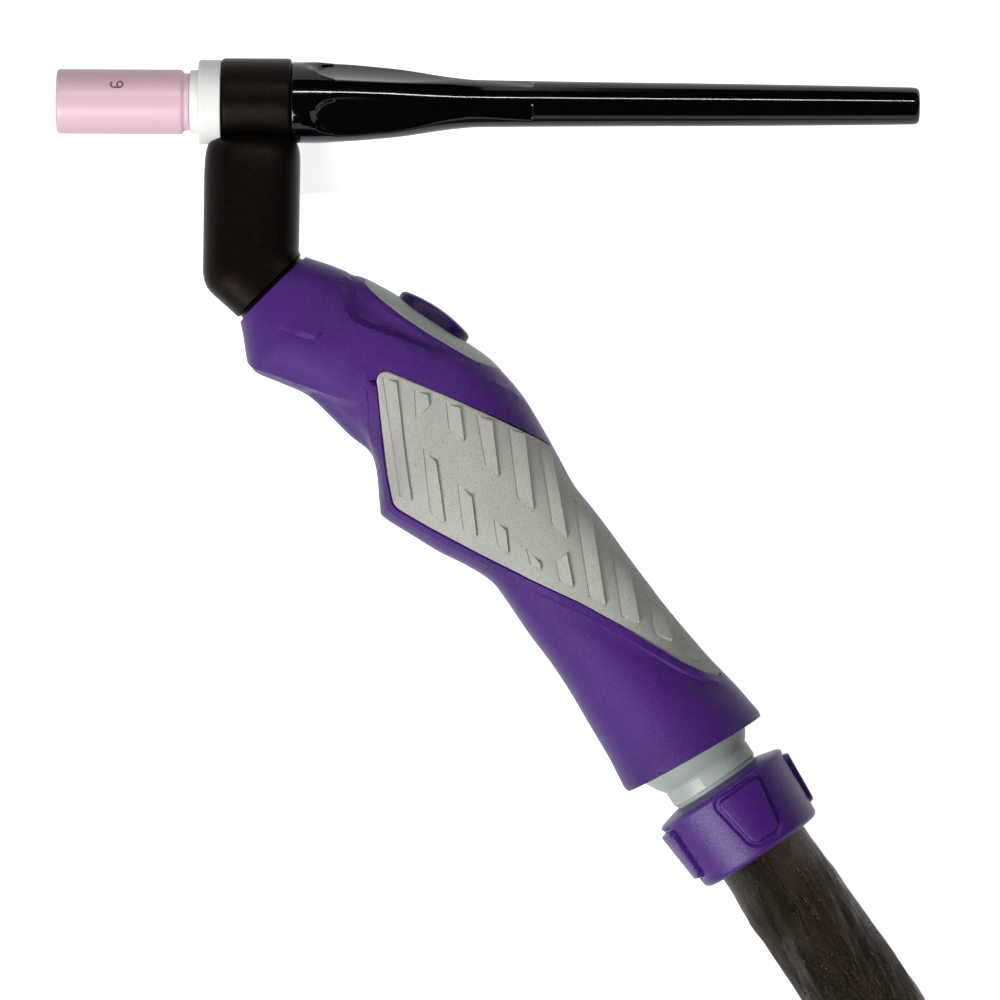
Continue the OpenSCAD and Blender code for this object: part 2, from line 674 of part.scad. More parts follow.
module clamp_nut() color("#4B1E7A") on_stem(0) difference() {
    union() {
        rotate_extrude() polygon([
            [0, nut_from], [stem_neck_r + 0.3, nut_from], [nut_d / 2 - 0.6, nut_from + 1.2],
            [nut_d / 2, nut_from + 1.9], [nut_rear_r + 0.1, nut_end - 0.9], [nut_rear_r - 0.8, nut_end],
            [0, nut_end]]);
        for (k = [0 : 3]) rotate([0, 0, 180 - lug_turn + 90 * k]) lug();
    }
    translate([0, 0, nut_from - over]) cylinder(r = nut_thread_r + 0.1, h = far);
    translate([0, 0, cavity_from]) cylinder(r = cavity_r, h = cavity_to - cavity_from);
    translate([0, 0, cavity_to - over]) cylinder(r = sleeve_r + 0.6, h = far);
}

// One grip lug of the nut: a plate that narrows to the rear
module lug() intersection() {
    translate([nut_d / 2 - 4, 0, nut_from + 3.6]) rotate([0, 90, 0])
        linear_extrude(8) polygon([[0, -6.1], [0, 6.1], [-13.4, 4.2], [-13.4, -4.2]]);
    translate([0, 0, nut_from]) cylinder(r1 = nut_d / 2 + lug_h + 0.1, r2 = nut_rear_r + lug_h, h = nut_l);
}

// ---------------------------------------------------------------- cable

function on_loop(r, a, z) = [loop_centre[0] + r * cos(a), loop_centre[1] + r * sin(a), z];

// Children placed for cable_ball, moved to where the ball is
module on_cable() translate([ball_at[0] - cable_ball[0], ball_at[1] - cable_ball[1], 0]) children();

module at_loop_centre() on_cable() translate([loop_centre[0], loop_centre[1], hose_z]) children();

module cable_sleeve() color("#1B1916") on_cable()
    sweep(concat(route,
        [for (a = [0 : -17.5 : loop_end - 343]) on_loop(loop_r + 0.8, a, sleeve_z)],
        [for (a = [1.5, 0]) on_loop(loop_r, loop_end + a, sleeve_z)]), sleeve_r, 12);

module sleeve_boot() color("#232323") on_cable()
    translate(on_loop(loop_r, loop_end, sleeve_z)) rotate([0, 0, loop_end - 90]) along_x(0.4) difference() {
        cylinder(r1 = sleeve_r - 0.2, r2 = 9, h = boot_l);
        translate([0, 0, -over]) cylinder(r = 8.2, h = boot_l + 2 * over);
    }

module hose_run() color("#1E1F21") on_cable() sweep(run_points, hose_r, 12);

// The flat coil as one disc with a hole
module coil_form(grow) rotate_extrude() translate([(coil_in + coil_out) / 2, 0])
    square([coil_out - coil_in + hose_d + 2 * grow, hose_d + 2 * grow], center = true);

module hose_coil() color("#1E1F21") at_loop_centre() coil_form(0);

module hose_tail() color("#1E1F21") on_cable() sweep(tail_points, hose_r, 12);

module coil_ties() color("#2A2A2C") at_loop_centre() difference() {
    for (a = tie_turns) rotate([0, 0, a]) translate([coil_in - hose_r - 1.7, -tie_w / 2, -hose_r - tie_t])
        cube([coil_out - coil_in + hose_d + 2.6, tie_w, hose_d + 2 * tie_t]);
    coil_form(0.05);
}

module on_plug() on_cable() translate(plug_at) rotate([0, -plug_tilt, plug_turn]) along_x(0) children();

module plug_body() color("#1A1A1B") on_plug() difference() {
    rotate_extrude() polygon([
        [0, 0.1], [8.5, 0.1], [10.5, 16], [12.6, 20], [plug_body_r, 24], [plug_body_r, plug_body_l - 2],
        [plug_body_r - 1, plug_body_l], [0, plug_body_l]]);
    translate([0, 0, plug_body_l - plug_root_l - 0.1]) cylinder(d = plug_pin_d - 1 + 2 * slip, h = 20);
}

module plug_pin() color("#B5A642") on_plug() difference() {
    union() {
        translate([0, 0, plug_body_l - plug_root_l]) cylinder(d = plug_pin_d - 1, h = plug_root_l + over);
        translate([0, 0, plug_body_l]) cylinder(d = plug_pin_d, h = plug_pin_l);
    }
    translate([0, 0, plug_body_l - plug_root_l - over]) cylinder(r = plug_bore_r, h = far);
    translate([plug_pin_d / 2 - bayonet_depth, -bayonet_w / 2, plug_body_l + plug_pin_l - 8])
        cube([far, bayonet_w, far]);
}

module control_lead() color("#1E1F21") on_cable() sweep(lead_points, lead_r, 8);

module on_control() on_cable() translate(control_at) rotate([0, 0, control_turn]) along_x(0) children();

module control_plug() color("#1A1A1B") on_control() rotate_extrude() polygon([
    [0, 0.1], [4, 0.1], [6, 12], [8, 14], [8, 27], [6.5, 27], [6.5, 40], [0, 40]]);

module coupling_ring() color("#A8AAAC") on_control() ring(8.4, 6.56, 27.3, 38);

gas_cup();
heat_shield();
collet_body();
collet();
tungsten_electrode();
head_body();
head_cover();
neck_tube();
neck_clamp();
back_cap();
back_cap_o_ring();
handle_shell_top();
handle_shell_bottom();
grip_panel_top();
grip_panel_bottom();
button_bezel();
switch_button();
button_spring();
switch_body();
switch_plunger();
switch_wires();
shell_screws();
inner_hose();
ball_seat();
ball_stem();
clamp_ring();
clamp_nut();
cable_sleeve();
sleeve_boot();
hose_run();
hose_coil();
hose_tail();
coil_ties();
plug_body();
plug_pin();
control_lead();
control_plug();
coupling_ring();
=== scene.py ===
"""The looks of a gas-cooled TIG torch with a knuckle handle, laid out as a Blender add-on."""

import math
from contextlib import contextmanager

import bmesh
import bpy
import numpy as np
from bpy.props import FloatProperty, FloatVectorProperty, PointerProperty
from mathutils import Matrix, Vector
from mathutils.geometry import delaunay_2d_cdt


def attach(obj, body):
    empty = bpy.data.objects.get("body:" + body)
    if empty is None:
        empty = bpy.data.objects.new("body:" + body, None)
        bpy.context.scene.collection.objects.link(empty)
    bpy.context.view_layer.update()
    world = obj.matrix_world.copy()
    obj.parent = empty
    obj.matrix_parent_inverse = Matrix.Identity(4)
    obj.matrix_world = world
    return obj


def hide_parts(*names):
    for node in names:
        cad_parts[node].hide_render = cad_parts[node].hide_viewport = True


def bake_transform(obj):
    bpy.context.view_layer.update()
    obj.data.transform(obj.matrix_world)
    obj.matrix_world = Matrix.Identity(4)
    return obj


bl_info = {
    "name": "TIG torch",
    "version": (1, 0, 0),
    "blender": (4, 5, 0),
    "location": "3D View > Sidebar > Torch",
    "description": "Makes a gas-cooled TIG torch with a knuckle handle, piece by piece",
    "category": "Object",
}

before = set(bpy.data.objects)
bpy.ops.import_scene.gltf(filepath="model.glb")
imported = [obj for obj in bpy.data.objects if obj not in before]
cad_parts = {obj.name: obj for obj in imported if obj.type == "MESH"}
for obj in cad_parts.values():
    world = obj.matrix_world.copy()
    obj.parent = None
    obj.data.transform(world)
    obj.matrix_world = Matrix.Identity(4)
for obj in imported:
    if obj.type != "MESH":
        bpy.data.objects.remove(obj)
MM = 0.001
FLOOR_Z = -19.6
BALL = np.array([157.212, -156.962, 0.0])
STEM_AXIS = np.array([0.563526, -0.826098, 0.0])
FAR = 1e9
TINY = 1e-9


# ---------------------------------------------------------------- colours and nodes

WHITE = "#FFFFFF"
EVEN_STREAK = (900.0, 900.0, 900.0)
BROAD_SCALE, BROAD_SHARE = 45.0, 0.35  # the slow change of tone in a moulding, and its weight


def srgb(code):
    """The linear colour of an sRGB hex code."""
    parts = [int(code[i : i + 2], 16) / 255 for i in (1, 3, 5)]
    return [c / 12.92 if c <= 0.04045 else ((c + 0.055) / 1.055) ** 2.4 for c in parts] + [1.0]


def per(size):
    """The texture scale of a grain with a size in millimetres."""
    return 1 / (size * MM)


def add(tree, kind, inputs=None, ramp=None, **settings):
    """Adds a shader node with its own settings, its sockets' values or links, and a ramp's stops."""
    made = tree.nodes.new("ShaderNode" + kind)
    for key, value in settings.items():
        setattr(made, key, value)
    for key, value in (inputs or {}).items():
        if isinstance(value, bpy.types.NodeSocket):
            tree.links.new(value, made.inputs[key])
        else:
            made.inputs[key].default_value = value
    if ramp:
        stops = made.color_ramp.elements
        while len(stops) < len(ramp):
            stops.new(1.0)
        for stop, (at, colour) in zip(stops, ramp):
            stop.position, stop.color = at, colour
    return made


def noise(tree, at, scale, detail=2.0, rough=0.5, output="Fac"):
    sockets = {"Vector": at, "Scale": scale, "Detail": detail, "Roughness": rough}
    return add(tree, "TexNoise", sockets).outputs[output]


def mapped(tree, value, start, end, low=0.0, high=1.0):
    """A value between `start` and `end`, moved to between `low` and `high`."""
    sockets = {"Value": value, "From Min": start, "From Max": end, "To Min": low, "To Max": high}
    return add(tree, "MapRange", sockets).outputs["Result"]


def mixed(tree, share, a, b, kind="RGBA"):
    return add(tree, "Mix", {"Factor": share, "A": a, "B": b}, data_type=kind).outputs["Result"]


def maths(tree, what, *values):
    return add(tree, "Math", dict(enumerate(values)), operation=what).outputs[0]


def tinted(tree, value, colour, dark, light, stops=(0.3, 0.7)):
    """A ramp from a darker to a lighter shade of a colour, each given as a factor."""
    ramp = [(at, [c * k for c in colour[:3]] + [1.0]) for at, k in zip(stops, (dark, light))]
    return add(tree, "ValToRGB", {"Fac": value}, ramp=ramp).outputs["Color"]


def bumps(tree, height, depth, **under):
    """The normal of a relief that is `depth` mm deep."""
    return add(tree, "Bump", {"Height": height, "Distance": depth * MM, **under}).outputs["Normal"]


def empty_material(name):
    made = bpy.data.materials.new(name)
    made.use_nodes = True
    made.node_tree.nodes.clear()
    return made, made.node_tree


def new_finish(name, **surface):
    """An empty material with one Principled shader; returns its tree, the shader and object coordinates."""
    made, tree = empty_material(name)
    shader = add(tree, "BsdfPrincipled", {k.replace("_", " "): v for k, v in surface.items()})
    add(tree, "OutputMaterial", {"Surface": shader.outputs[0]})
    return made, tree, shader, add(tree, "TexCoord").outputs["Object"]


def dress(tree, shader, tint, normal, roughness=None):
    """Links a finish's colour, relief and roughness to its shader."""
    tree.links.new(tint, shader.inputs["Base Color"])
    tree.links.new(normal, shader.inputs["Normal"])
    if roughness is not None:
        tree.links.new(roughness, shader.inputs["Roughness"])


def moulded(name, colour, grain, depth, spread=0.12, rough=(0.4, 0.5), specks=None, **surface):
    """A moulded plastic or rubber: a tool's texture of `grain` mm, `depth` mm deep, with soft colour
    variation. Specks are given by their size in mm, their colour and the noise above which they show."""
    made, tree, shader, at = new_finish(name, **surface)
    pits = noise(tree, at, per(grain), 3.0, 0.6)
    tone = mixed(tree, BROAD_SHARE, pits, noise(tree, at, BROAD_SCALE), "FLOAT")
    tint = tinted(tree, tone, colour, 1 - spread, 1 + spread)
    if specks:
        size, fleck, above = specks
        tint = mixed(tree, mapped(tree, noise(tree, at, per(size), 1.0), above, above + 0.05), tint, fleck)
    dress(tree, shader, tint, bumps(tree, pits, depth), mapped(tree, tone, 0.3, 0.7, *rough))
    return made


def metal(name, colour, rough, streak=EVEN_STREAK):
    """A machined metal: turning or drawing lines, with the streak's scale along each axis."""
    made, tree, shader, at = new_finish(name, Metallic=1.0)
    stretch = add(tree, "Mapping", {"Vector": at, "Scale": streak}).outputs["Vector"]
    lines = noise(tree, stretch, 1.0, 4.0)
    gloss = mapped(tree, lines, 0, 1, rough * 0.8, rough * 1.25)
    dress(tree, shader, tinted(tree, lines, colour, 0.86, 1.08), bumps(tree, lines, 0.004), gloss)
    return made


# ---------------------------------------------------------------- making meshes


def pick(*parts):
    """Selects only these objects and makes the first one active."""
    if bpy.context.object and bpy.context.object.mode != "OBJECT":
        bpy.ops.object.mode_set(mode="OBJECT")
    bpy.ops.object.select_all(action="DESELECT")
    for part in parts:
        part.select_set(True)
    if parts:
        bpy.context.view_layer.objects.active = parts[0]


def edit(obj, *steps):
    """Runs edit-mode operators on the whole mesh of an object."""
    pick(obj)
    bpy.ops.object.mode_set(mode="EDIT")
    for step in (select_all, *steps):
        step()
    bpy.ops.object.mode_set(mode="OBJECT")


def select_all():
    bpy.ops.mesh.select_all(action="SELECT")


def merge(gap):
    """An edit step that merges points closer than `gap` metres."""
    return lambda: bpy.ops.mesh.remove_doubles(threshold=gap)


def face_out():
    """An edit step that turns every face outwards."""
    select_all()
    bpy.ops.mesh.normals_make_consistent(inside=False)


@contextmanager
def loose(obj):
    """A mesh as a bmesh, written back at the end."""
    bm = bmesh.new()
    bm.from_mesh(obj.data)
    yield bm
    bm.to_mesh(obj.data)
    bm.free()


def from_points(name, points, faces):
    """A mesh object from points in millimetres."""
    mesh = bpy.data.meshes.new(name)
    mesh.from_pydata((np.asarray(points, float) * MM).tolist(), [], faces)
    obj = bpy.data.objects.new(name, mesh)
    bpy.context.scene.collection.objects.link(obj)
    return obj


def coords(obj):
    """A mesh's points in millimetres."""
    flat = np.empty(len(obj.data.vertices) * 3)
    obj.data.vertices.foreach_get("co", flat)
    return flat.reshape(-1, 3) / MM


def set_coords(obj, points):
    obj.data.vertices.foreach_set("co", (np.asarray(points) * MM).ravel())
    obj.data.update()


def outlined(points, fill="NOTHING"):
    """A closed outline through points in millimetres."""
    pick()
    bpy.ops.mesh.primitive_circle_add(vertices=len(points), radius=1.0, fill_type=fill, location=(0, 0, 0))
    set_coords(bpy.context.object, points)
    return bpy.context.object


def named(obj, name):
    obj.name = obj.data.name = name
    return obj


def turn_over(obj):
    """Mirrors a piece to the other side of the parting plane."""
    obj.data.transform(Matrix.Diagonal((1, 1, -1, 1)))
    obj.data.flip_normals()
    return obj


def use(obj, kind, **settings):
    """Adds one modifier and applies it."""
    pick(obj)
    made = obj.modifiers.new(kind.title(), kind)
    for key, value in settings.items():
        setattr(made, key, value)
    bpy.ops.object.modifier_apply(modifier=made.name)


def join(parts, name):
    pick(*parts)
    bpy.ops.object.join()
    return named(parts[0], name)


def done(obj, body, finish, slot, *nodes, degrees=32):
    """Shades a piece, gives it its finish, hangs it on its body and hides the CAD nodes it stands for."""
    pick(obj)
    if degrees is None:
        bpy.ops.object.shade_smooth()
    else:
        bpy.ops.object.shade_smooth_by_angle(angle=math.radians(degrees))
    obj.data.materials.clear()
    obj.data.materials.append(finish)
    if body:
        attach(obj, body)
    if nodes:
        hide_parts(*nodes)
    return obj


def repaint(finish, *nodes):
    """Gives CAD nodes a finish in place of their plain one."""
    for name in nodes:
        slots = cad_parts[name].data.materials
        slots.clear()
        slots.append(finish)


def run_of(line):
    """How far along a line each of its points lies."""
    return np.concatenate([[0], np.cumsum(np.linalg.norm(np.diff(line, axis=0), axis=1))])


def ring_of(radius, start, end, count):
    """Points on a circle from one angle in degrees to another."""
    turns = np.linspace(math.radians(start), math.radians(end), count)
    return [(radius * math.cos(a), radius * math.sin(a)) for a in turns]


def ease(t):
    t = np.clip(t, 0, 1)
    return t * t * (3 - 2 * t)


def band(d, start, end, ramp):
    """1 between two distances and 0 outside them, with a ramp of its own length inside each."""
    return np.clip((d - start) / ramp, 0, 1) * np.clip((end - d) / ramp, 0, 1)


def grooves(d, pitch, width):
    """How deep a row of round grooves is at a distance, from 0 to 1."""
    return np.exp(-(((d % pitch) - pitch / 2) / width) ** 2)


def soft(points, radius, steps=4, closed=False):
    """A line or loop of points with its corners rounded; radius is one size or one for each point."""
    n, out = len(points), []
    for i, p in enumerate(points):
        r = radius[i] if hasattr(radius, "__len__") else radius
        if r <= 0 or (not closed and i in (0, n - 1)):
            out.append(tuple(p))
            continue
        here, before, after = (np.array(points[j % n], float) for j in (i, i - 1, i + 1))
        ends = []
        for other in (before, after):
            way = other - here
            ends.append(here + way / np.linalg.norm(way) * min(r, 0.49 * np.linalg.norm(way)))
        for t in np.linspace(0, 1, steps + 1):
            out.append(tuple((1 - t) ** 2 * ends[0] + 2 * t * (1 - t) * here + t * t * ends[1]))
    return out


def fine(points, step, closed=False):
    """A line or loop with points added so that none are further apart than step."""
    points = [tuple(p) for p in points]
    points += points[:1] * closed
    out = points[:1]
    for a, b in zip(points[:-1], points[1:]):
        a, b = np.array(a, float), np.array(b, float)
        n = max(1, math.ceil(np.linalg.norm(b - a) / step))
        out += [tuple(a + (b - a) * k / n) for k in range(1, n + 1)]
    return out[:-1] if closed else out


def spline(points, step):
    """Points about `step` mm apart on a smooth curve through the given ones."""
    p = np.array(points, float)
    p = np.vstack([2 * p[0] - p[1], p, 2 * p[-1] - p[-2]])
    out = []
    for a, b, c, d in zip(p[:-3], p[1:-2], p[2:-1], p[3:]):
        n = max(1, math.ceil(np.linalg.norm(c - b) / step))
        square, cube = 2 * a - 5 * b + 4 * c - d, 3 * b - a - 3 * c + d
        for t in np.arange(n)[:, None] / n:
            out.append(0.5 * (2 * b + (c - a) * t + square * t**2 + cube * t**3))
    return np.vstack(out + [p[-2]])


def turned(name, profile, at=(0, 0, 0), along=(1, 0, 0), steps=96, shape=None, loop=False):
    """Spins a profile of (distance, radius) in mm round the axis that starts at `at` and runs `along`.
    shape(distance, radius, angle) may return a new distance and radius for every point; 90 degrees is up."""
    obj = outlined([(s, r, 0) for s, r in profile])
    if not loop:
        with loose(obj) as bm:
            bm.verts.ensure_lookup_table()
            bm.edges.remove(bm.edges.get((bm.verts[0], bm.verts[len(profile) - 1])))
    spin = {"steps": steps, "angle": 2 * math.pi, "center": (0, 0, 0), "axis": (1, 0, 0)}
    edit(obj, lambda: bpy.ops.mesh.spin(**spin), select_all, merge(2e-6), face_out)
    if shape:
        p = coords(obj)
        r, a = np.hypot(p[:, 1], p[:, 2]), np.arctan2(p[:, 2], p[:, 1])
        s, r = shape(p[:, 0], r, a)
        set_coords(obj, np.stack([s, r * np.cos(a), r * np.sin(a)], axis=1))
    x = Vector(along).normalized()
    y = Vector((0, 0, 1)).cross(x).normalized()
    turn = Matrix((x, y, x.cross(y))).transposed().to_4x4()
    obj.data.transform(Matrix.Translation(Vector(at) * MM) @ turn)
    return named(obj, name)


def tube(name, line, radius, sides=32, shape=None):
    """A closed tube along a line in mm. shape(length, angle) may return the radius's factor at every point.
    Its UV map runs along the tube and round it, in metres."""
    line = np.asarray(line, float)
    way = np.gradient(line, axis=0)
    way /= np.linalg.norm(way, axis=1)[:, None]
    length = run_of(line)
    side = np.cross(way, [0, 0, 1])
    side /= np.linalg.norm(side, axis=1)[:, None]
    up = np.cross(side, way)
    a = np.linspace(0, 2 * math.pi, sides, endpoint=False)
    n = len(line)
    r = np.full((n, sides), float(radius))
    if shape:
        r = r * shape(length[:, None] + 0 * r, a[None, :] + 0 * r)
    spoke = np.cos(a)[None, :, None] * side[:, None] + np.sin(a)[None, :, None] * up[:, None]
    rings = line[:, None] + r[..., None] * spoke
    i, j = np.meshgrid(np.arange(n - 1), np.arange(sides), indexing="ij")
    k = (j + 1) % sides
    quads = np.stack([i * sides + j, (i + 1) * sides + j, (i + 1) * sides + k, i * sides + k], axis=-1)
    quads = quads.reshape(-1, 4)
    last = (n - 1) * sides
    ends = [(n * sides, (q + 1) % sides, q) for q in range(sides)]
    ends += [(n * sides + 1, last + q, last + (q + 1) % sides) for q in range(sides)]
    points = np.vstack([rings.reshape(-1, 3), line[:1], line[-1:]])
    obj = from_points(name, points, quads[:, ::-1].tolist() + [e[::-1] for e in ends])
    index = np.empty(len(obj.data.loops), int)
    obj.data.loops.foreach_get("vertex_index", index)
    u = np.append(np.repeat(length, sides), [length[0], length[-1]])[index] * MM
    v = np.append(np.tile(a, n), [0, 0])[index] * radius * MM
    seam = np.zeros(len(index), bool)  # the last quads of a ring run on to the full turn
    corners = len(quads) * 4
    seam[:corners] = (np.repeat(j.ravel(), 4) == sides - 1) & (index[:corners] % sides == 0)
    v = v + seam * 2 * math.pi * radius * MM
    layer = obj.data.uv_layers.new(name="along")
    layer.data.foreach_set("uv", np.stack([u, v], axis=1).ravel())
    return obj


# ---------------------------------------------------------------- sizes and colours that a user would change


def length(name, about, default):
    settings = {"default": default * MM, "min": 0.0, "unit": "LENGTH", "precision": 5}
    return FloatProperty(name=name, description=about, **settings)


def colour(name, about, code):
    settings = {"default": srgb(code), "size": 4, "min": 0.0, "max": 1.0, "subtype": "COLOR"}
    return FloatVectorProperty(name=name, description=about, **settings)


def watts(name, about, default):
    return FloatProperty(name=name, description=about, default=default, unit="POWER")


class TorchFront(bpy.types.PropertyGroup):
    cup_length: length("Cup length", "Length of the gas cup", 33.2)
    cup_diameter: length("Cup diameter", "Outside diameter of the gas cup", 16.2)
    cup_bore: length("Cup bore", "Bore of the gas cup", 9.5)
    head_diameter: length("Head diameter", "Outside diameter of the rubber head", 20.3)
    cap_length: length("Cap length", "Length of the long back cap", 156.8)
    cup_colour: colour("Cup colour", "Colour of the fired alumina", "#E8C2D1")
    shield_colour: colour("Shield colour", "Colour of the PTFE heat shield", "#F3F3EF")
    head_colour: colour("Head colour", "Colour of the rubber on head and neck", "#080706")
    cap_colour: colour("Cap colour", "Colour of the phenolic back cap", "#050506")


class TorchHandle(bpy.types.PropertyGroup):
    shell_wall: length("Shell wall", "Wall of the handle shells", 1.6)
    panel_recess: length("Panel recess", "Depth of the seat of each grip panel", 1.25)
    rib_height: length("Rib height", "Height of the grip ribs at their high edge", 0.95)
    shell_colour: colour("Shell colour", "Colour of the nylon handle shells", "#461B76")
    panel_colour: colour("Panel colour", "Colour of the soft grip panels", "#B0B0A8")
    bezel_colour: colour("Bezel colour", "Colour of the bezel round the button", "#ABB3A9")
    button_colour: colour("Button colour", "Colour of the switch button", "#36135E")


class TorchKnuckle(bpy.types.PropertyGroup):
    ball_diameter: length("Ball diameter", "Diameter of the knuckle's ball", 31.4)
    nut_diameter: length("Nut diameter", "Outside diameter of the clamp nut's front", 36.2)
    nut_length: length("Nut length", "Length of the clamp nut", 20.3)
    lug_height: length("Lug height", "How far the nut's lugs stand out", 1.1)
    stem_colour: colour("Stem colour", "Colour of the ball stem", "#A8B3AE")
    nut_colour: colour("Nut colour", "Colour of the clamp nut", "#461B76")


class TorchCable(bpy.types.PropertyGroup):
    sleeve_diameter: length("Sleeve diameter", "Diameter of the leather cable sleeve", 25.0)
    hose_diameter: length("Hose diameter", "Diameter of the power and gas hose", 12.0)
    lead_diameter: length("Lead diameter", "Diameter of the control lead", 5.0)
    leather_colour: colour("Leather colour", "Colour of the sleeve's leather", "#0C0A08")
    hose_colour: colour("Hose colour", "Colour of the hose's rubber", "#1B1C1E")


class TorchStage(bpy.types.PropertyGroup):
    camera_height: length("Camera height", "Height of the camera above the shells' parting plane", 1800.0)
    frame_width: length("Frame width", "Width of what the camera sees at the parting plane", 250.0)
    key_power: watts("Key light", "Power of the key light", 10.8)
    fill_power: watts("Fill light", "Power of the fill light", 0.3)
    strip_power: watts("Strip light", "Power of the narrow strip light", 1.4)


# ---------------------------------------------------------------- finishes


def alumina():
    """Pressed and fired alumina, lightly glazed: an even satin body that glows a little at its edges."""
    tone = bpy.context.scene.torch_front.cup_colour
    return moulded(
        "Alumina, fired", tone, 0.35, 0.012, spread=0.035, rough=(0.34, 0.42),
        IOR=1.6, Subsurface_Weight=0.12, Subsurface_Radius=(0.003, 0.0016, 0.002), Subsurface_Scale=1.0,
    )


def ptfe():
    """Turned PTFE: waxy white, soft highlight, faint tool marks."""
    tone = bpy.context.scene.torch_front.shield_colour
    return moulded(
        "PTFE, turned", tone, 0.25, 0.01, spread=0.03, rough=(0.35, 0.45),
        IOR=1.38, Subsurface_Weight=0.15, Subsurface_Radius=(0.002, 0.002, 0.002), Subsurface_Scale=1.0,
    )


def head_rubber():
    """Moulded silicone rubber: matt, finely pebbled, with pale dust specks and a brown sheen at its edges."""
    tone = bpy.context.scene.torch_front.head_colour
    return moulded(
        "Silicone rubber, moulded", tone, 0.3, 0.09, spread=0.4, rough=(0.26, 0.38),
        specks=(0.35, srgb("#2A251F"), 0.7), IOR=1.43, Specular_IOR_Level=0.15,
        Specular_Tint=srgb("#E9CFAE"),
    )


def cap_phenolic():
    """Phenolic, moulded in a polished tool: deep black with a hard, narrow highlight."""
    tone = bpy.context.scene.torch_front.cap_colour
    return moulded(
        "Phenolic, polished", tone, 2.2, 0.006, spread=0.2, rough=(0.06, 0.1),
        specks=(0.5, srgb("#16161A"), 0.78), IOR=1.6, Specular_IOR_Level=0.3,
    )


def nylon(name, tone, depth=0.2, spread=0.4, shine=0.22):
    """Glass-filled nylon from a spark-eroded tool: satin, evenly pitted, lighter where it catches light."""
    return moulded(
        name, tone, 0.34, depth, spread=spread, rough=(0.26, 0.38), IOR=1.53, Specular_IOR_Level=shine,
    )


def painted_edge_highlight(made, tone, width):
    """Paints a highlight along a piece's edge: makes a moulded finish paler there, by the piece's inset in mm.
    """
    tree = made.node_tree
    shader = next(n for n in tree.nodes if n.type == "BSDF_PRINCIPLED")
    under = shader.inputs["Base Color"].links[0].from_socket
    inset = add(tree, "Attribute", attribute_name="inset").outputs["Fac"]
    # painted highlight: full up to 0.4 of width in from the edge, none past width
    near = mapped(tree, inset, width * 0.4, width, 1.0, 0.0)
    tree.links.new(mixed(tree, near, under, tone), shader.inputs["Base Color"])
    return made


def grip_finish():
    """Soft thermoplastic elastomer, mineral filled: sandy, matt and warm grey, with a painted highlight along
    its edge.
    """
    tone = bpy.context.scene.torch_handle.panel_colour
    made = moulded(
        "Elastomer, mineral filled", tone, 0.32, 0.16, spread=0.2, rough=(0.46, 0.6),
        specks=(0.38, srgb("#8A8A82"), 0.66), IOR=1.5, Specular_IOR_Level=0.4,
    )
    # a pale line along the panel's edge is painted on as a highlight
    return painted_edge_highlight(made, srgb("#D9D9CF"), 0.5)


def bezel_finish():
    """ABS, moulded in a fine matt tool: pale, even and slightly soft in its highlight."""
    tone = bpy.context.scene.torch_handle.bezel_colour
    return moulded(
        "ABS, matt moulded", tone, 0.32, 0.07, spread=0.13, rough=(0.38, 0.48),
        specks=(0.4, srgb("#BCC6BC"), 0.72), IOR=1.53, Specular_IOR_Level=0.4,
    )


def stem_finish():
    """Acetal, moulded: smooth pale grey with a broad waxy highlight."""
    tone = bpy.context.scene.torch_knuckle.stem_colour
    return moulded(
        "Acetal, moulded", tone, 0.4, 0.04, spread=0.08, rough=(0.33, 0.42), IOR=1.48,
        Subsurface_Weight=0.05, Subsurface_Radius=(0.001, 0.001, 0.001), Subsurface_Scale=1.0,
    )


def leather():
    """Split cowhide, dyed black: creased lengthwise, pebbled, glinting grain, with a painted dull-gold sheen in
    streaks along its creases.
    """
    made, tree, shader, at = new_finish(
        "Cowhide, dyed black", IOR=1.5, Specular_IOR_Level=0.4, Specular_Tint=srgb("#FFE3B8"),
    )
    along = add(tree, "UVMap", uv_map="along").outputs["UV"]
    drift = noise(tree, at, per(11), 3.0, output="Color")
    pull = (4 * MM,) * 3
    bent = add(tree, "VectorMath", {0: drift, 1: pull, 2: along}, operation="MULTIPLY_ADD").outputs[0]
    sockets = {"Vector": bent, "Rotation": (0, 0, 0.11), "Scale": (per(11), per(1.7), 1.0)}
    lines = noise(tree, add(tree, "Mapping", sockets).outputs[0], 1.0, 5.0, 0.6)
    crease = maths(tree, "ABSOLUTE", maths(tree, "SUBTRACT", lines, 0.5))
    pebbles = add(tree, "TexVoronoi", {"Vector": at, "Scale": per(0.85)}).outputs["Distance"]
    grain = noise(tree, at, per(0.4), 4.0, 0.65)
    base = tinted(tree, grain, bpy.context.scene.torch_cable.leather_colour, 0.4, 1.4, (0.35, 0.75))
    # painted sheen: dull gold where the crease streaks and the grain are both high
    painted_gold_sheen = mapped(tree, maths(tree, "MULTIPLY", lines, grain), 0.35, 0.42, high=0.6)
    creased = bumps(tree, crease, 4.5)
    relief = bumps(tree, maths(tree, "MULTIPLY", pebbles, grain), 0.35, Normal=creased)
    gloss = mapped(tree, grain, 0.3, 0.7, 0.1, 0.22)
    dress(tree, shader, mixed(tree, painted_gold_sheen, base, srgb("#94794F")), relief, gloss)
    return made


def hose_rubber(name, tone, pitch):
    """Extruded rubber over a braid: satin black, with the braid's slight diamond swell showing through."""
    made, tree, shader, at = new_finish(name, IOR=1.52, Specular_IOR_Level=0.4)
    along = add(tree, "UVMap", uv_map="along").outputs["UV"]
    cross = []
    for way in (45, -45):
        turn = add(tree, "Mapping", {"Vector": along, "Rotation": (0, 0, math.radians(way))}).outputs[0]
        wave = add(tree, "TexWave", {"Vector": turn, "Scale": per(pitch * 3.2)}, bands_direction="X")
        cross.append(wave.outputs["Fac"])
    braid = bumps(tree, maths(tree, "MULTIPLY", *cross), 0.12)
    dust = noise(tree, at, 160.0, 6.0)
    gloss = mapped(tree, dust, 0.3, 0.7, 0.38, 0.56)
    dress(tree, shader, tinted(tree, dust, tone, 0.75, 1.35, (0.35, 0.7)), braid, gloss)
    return made


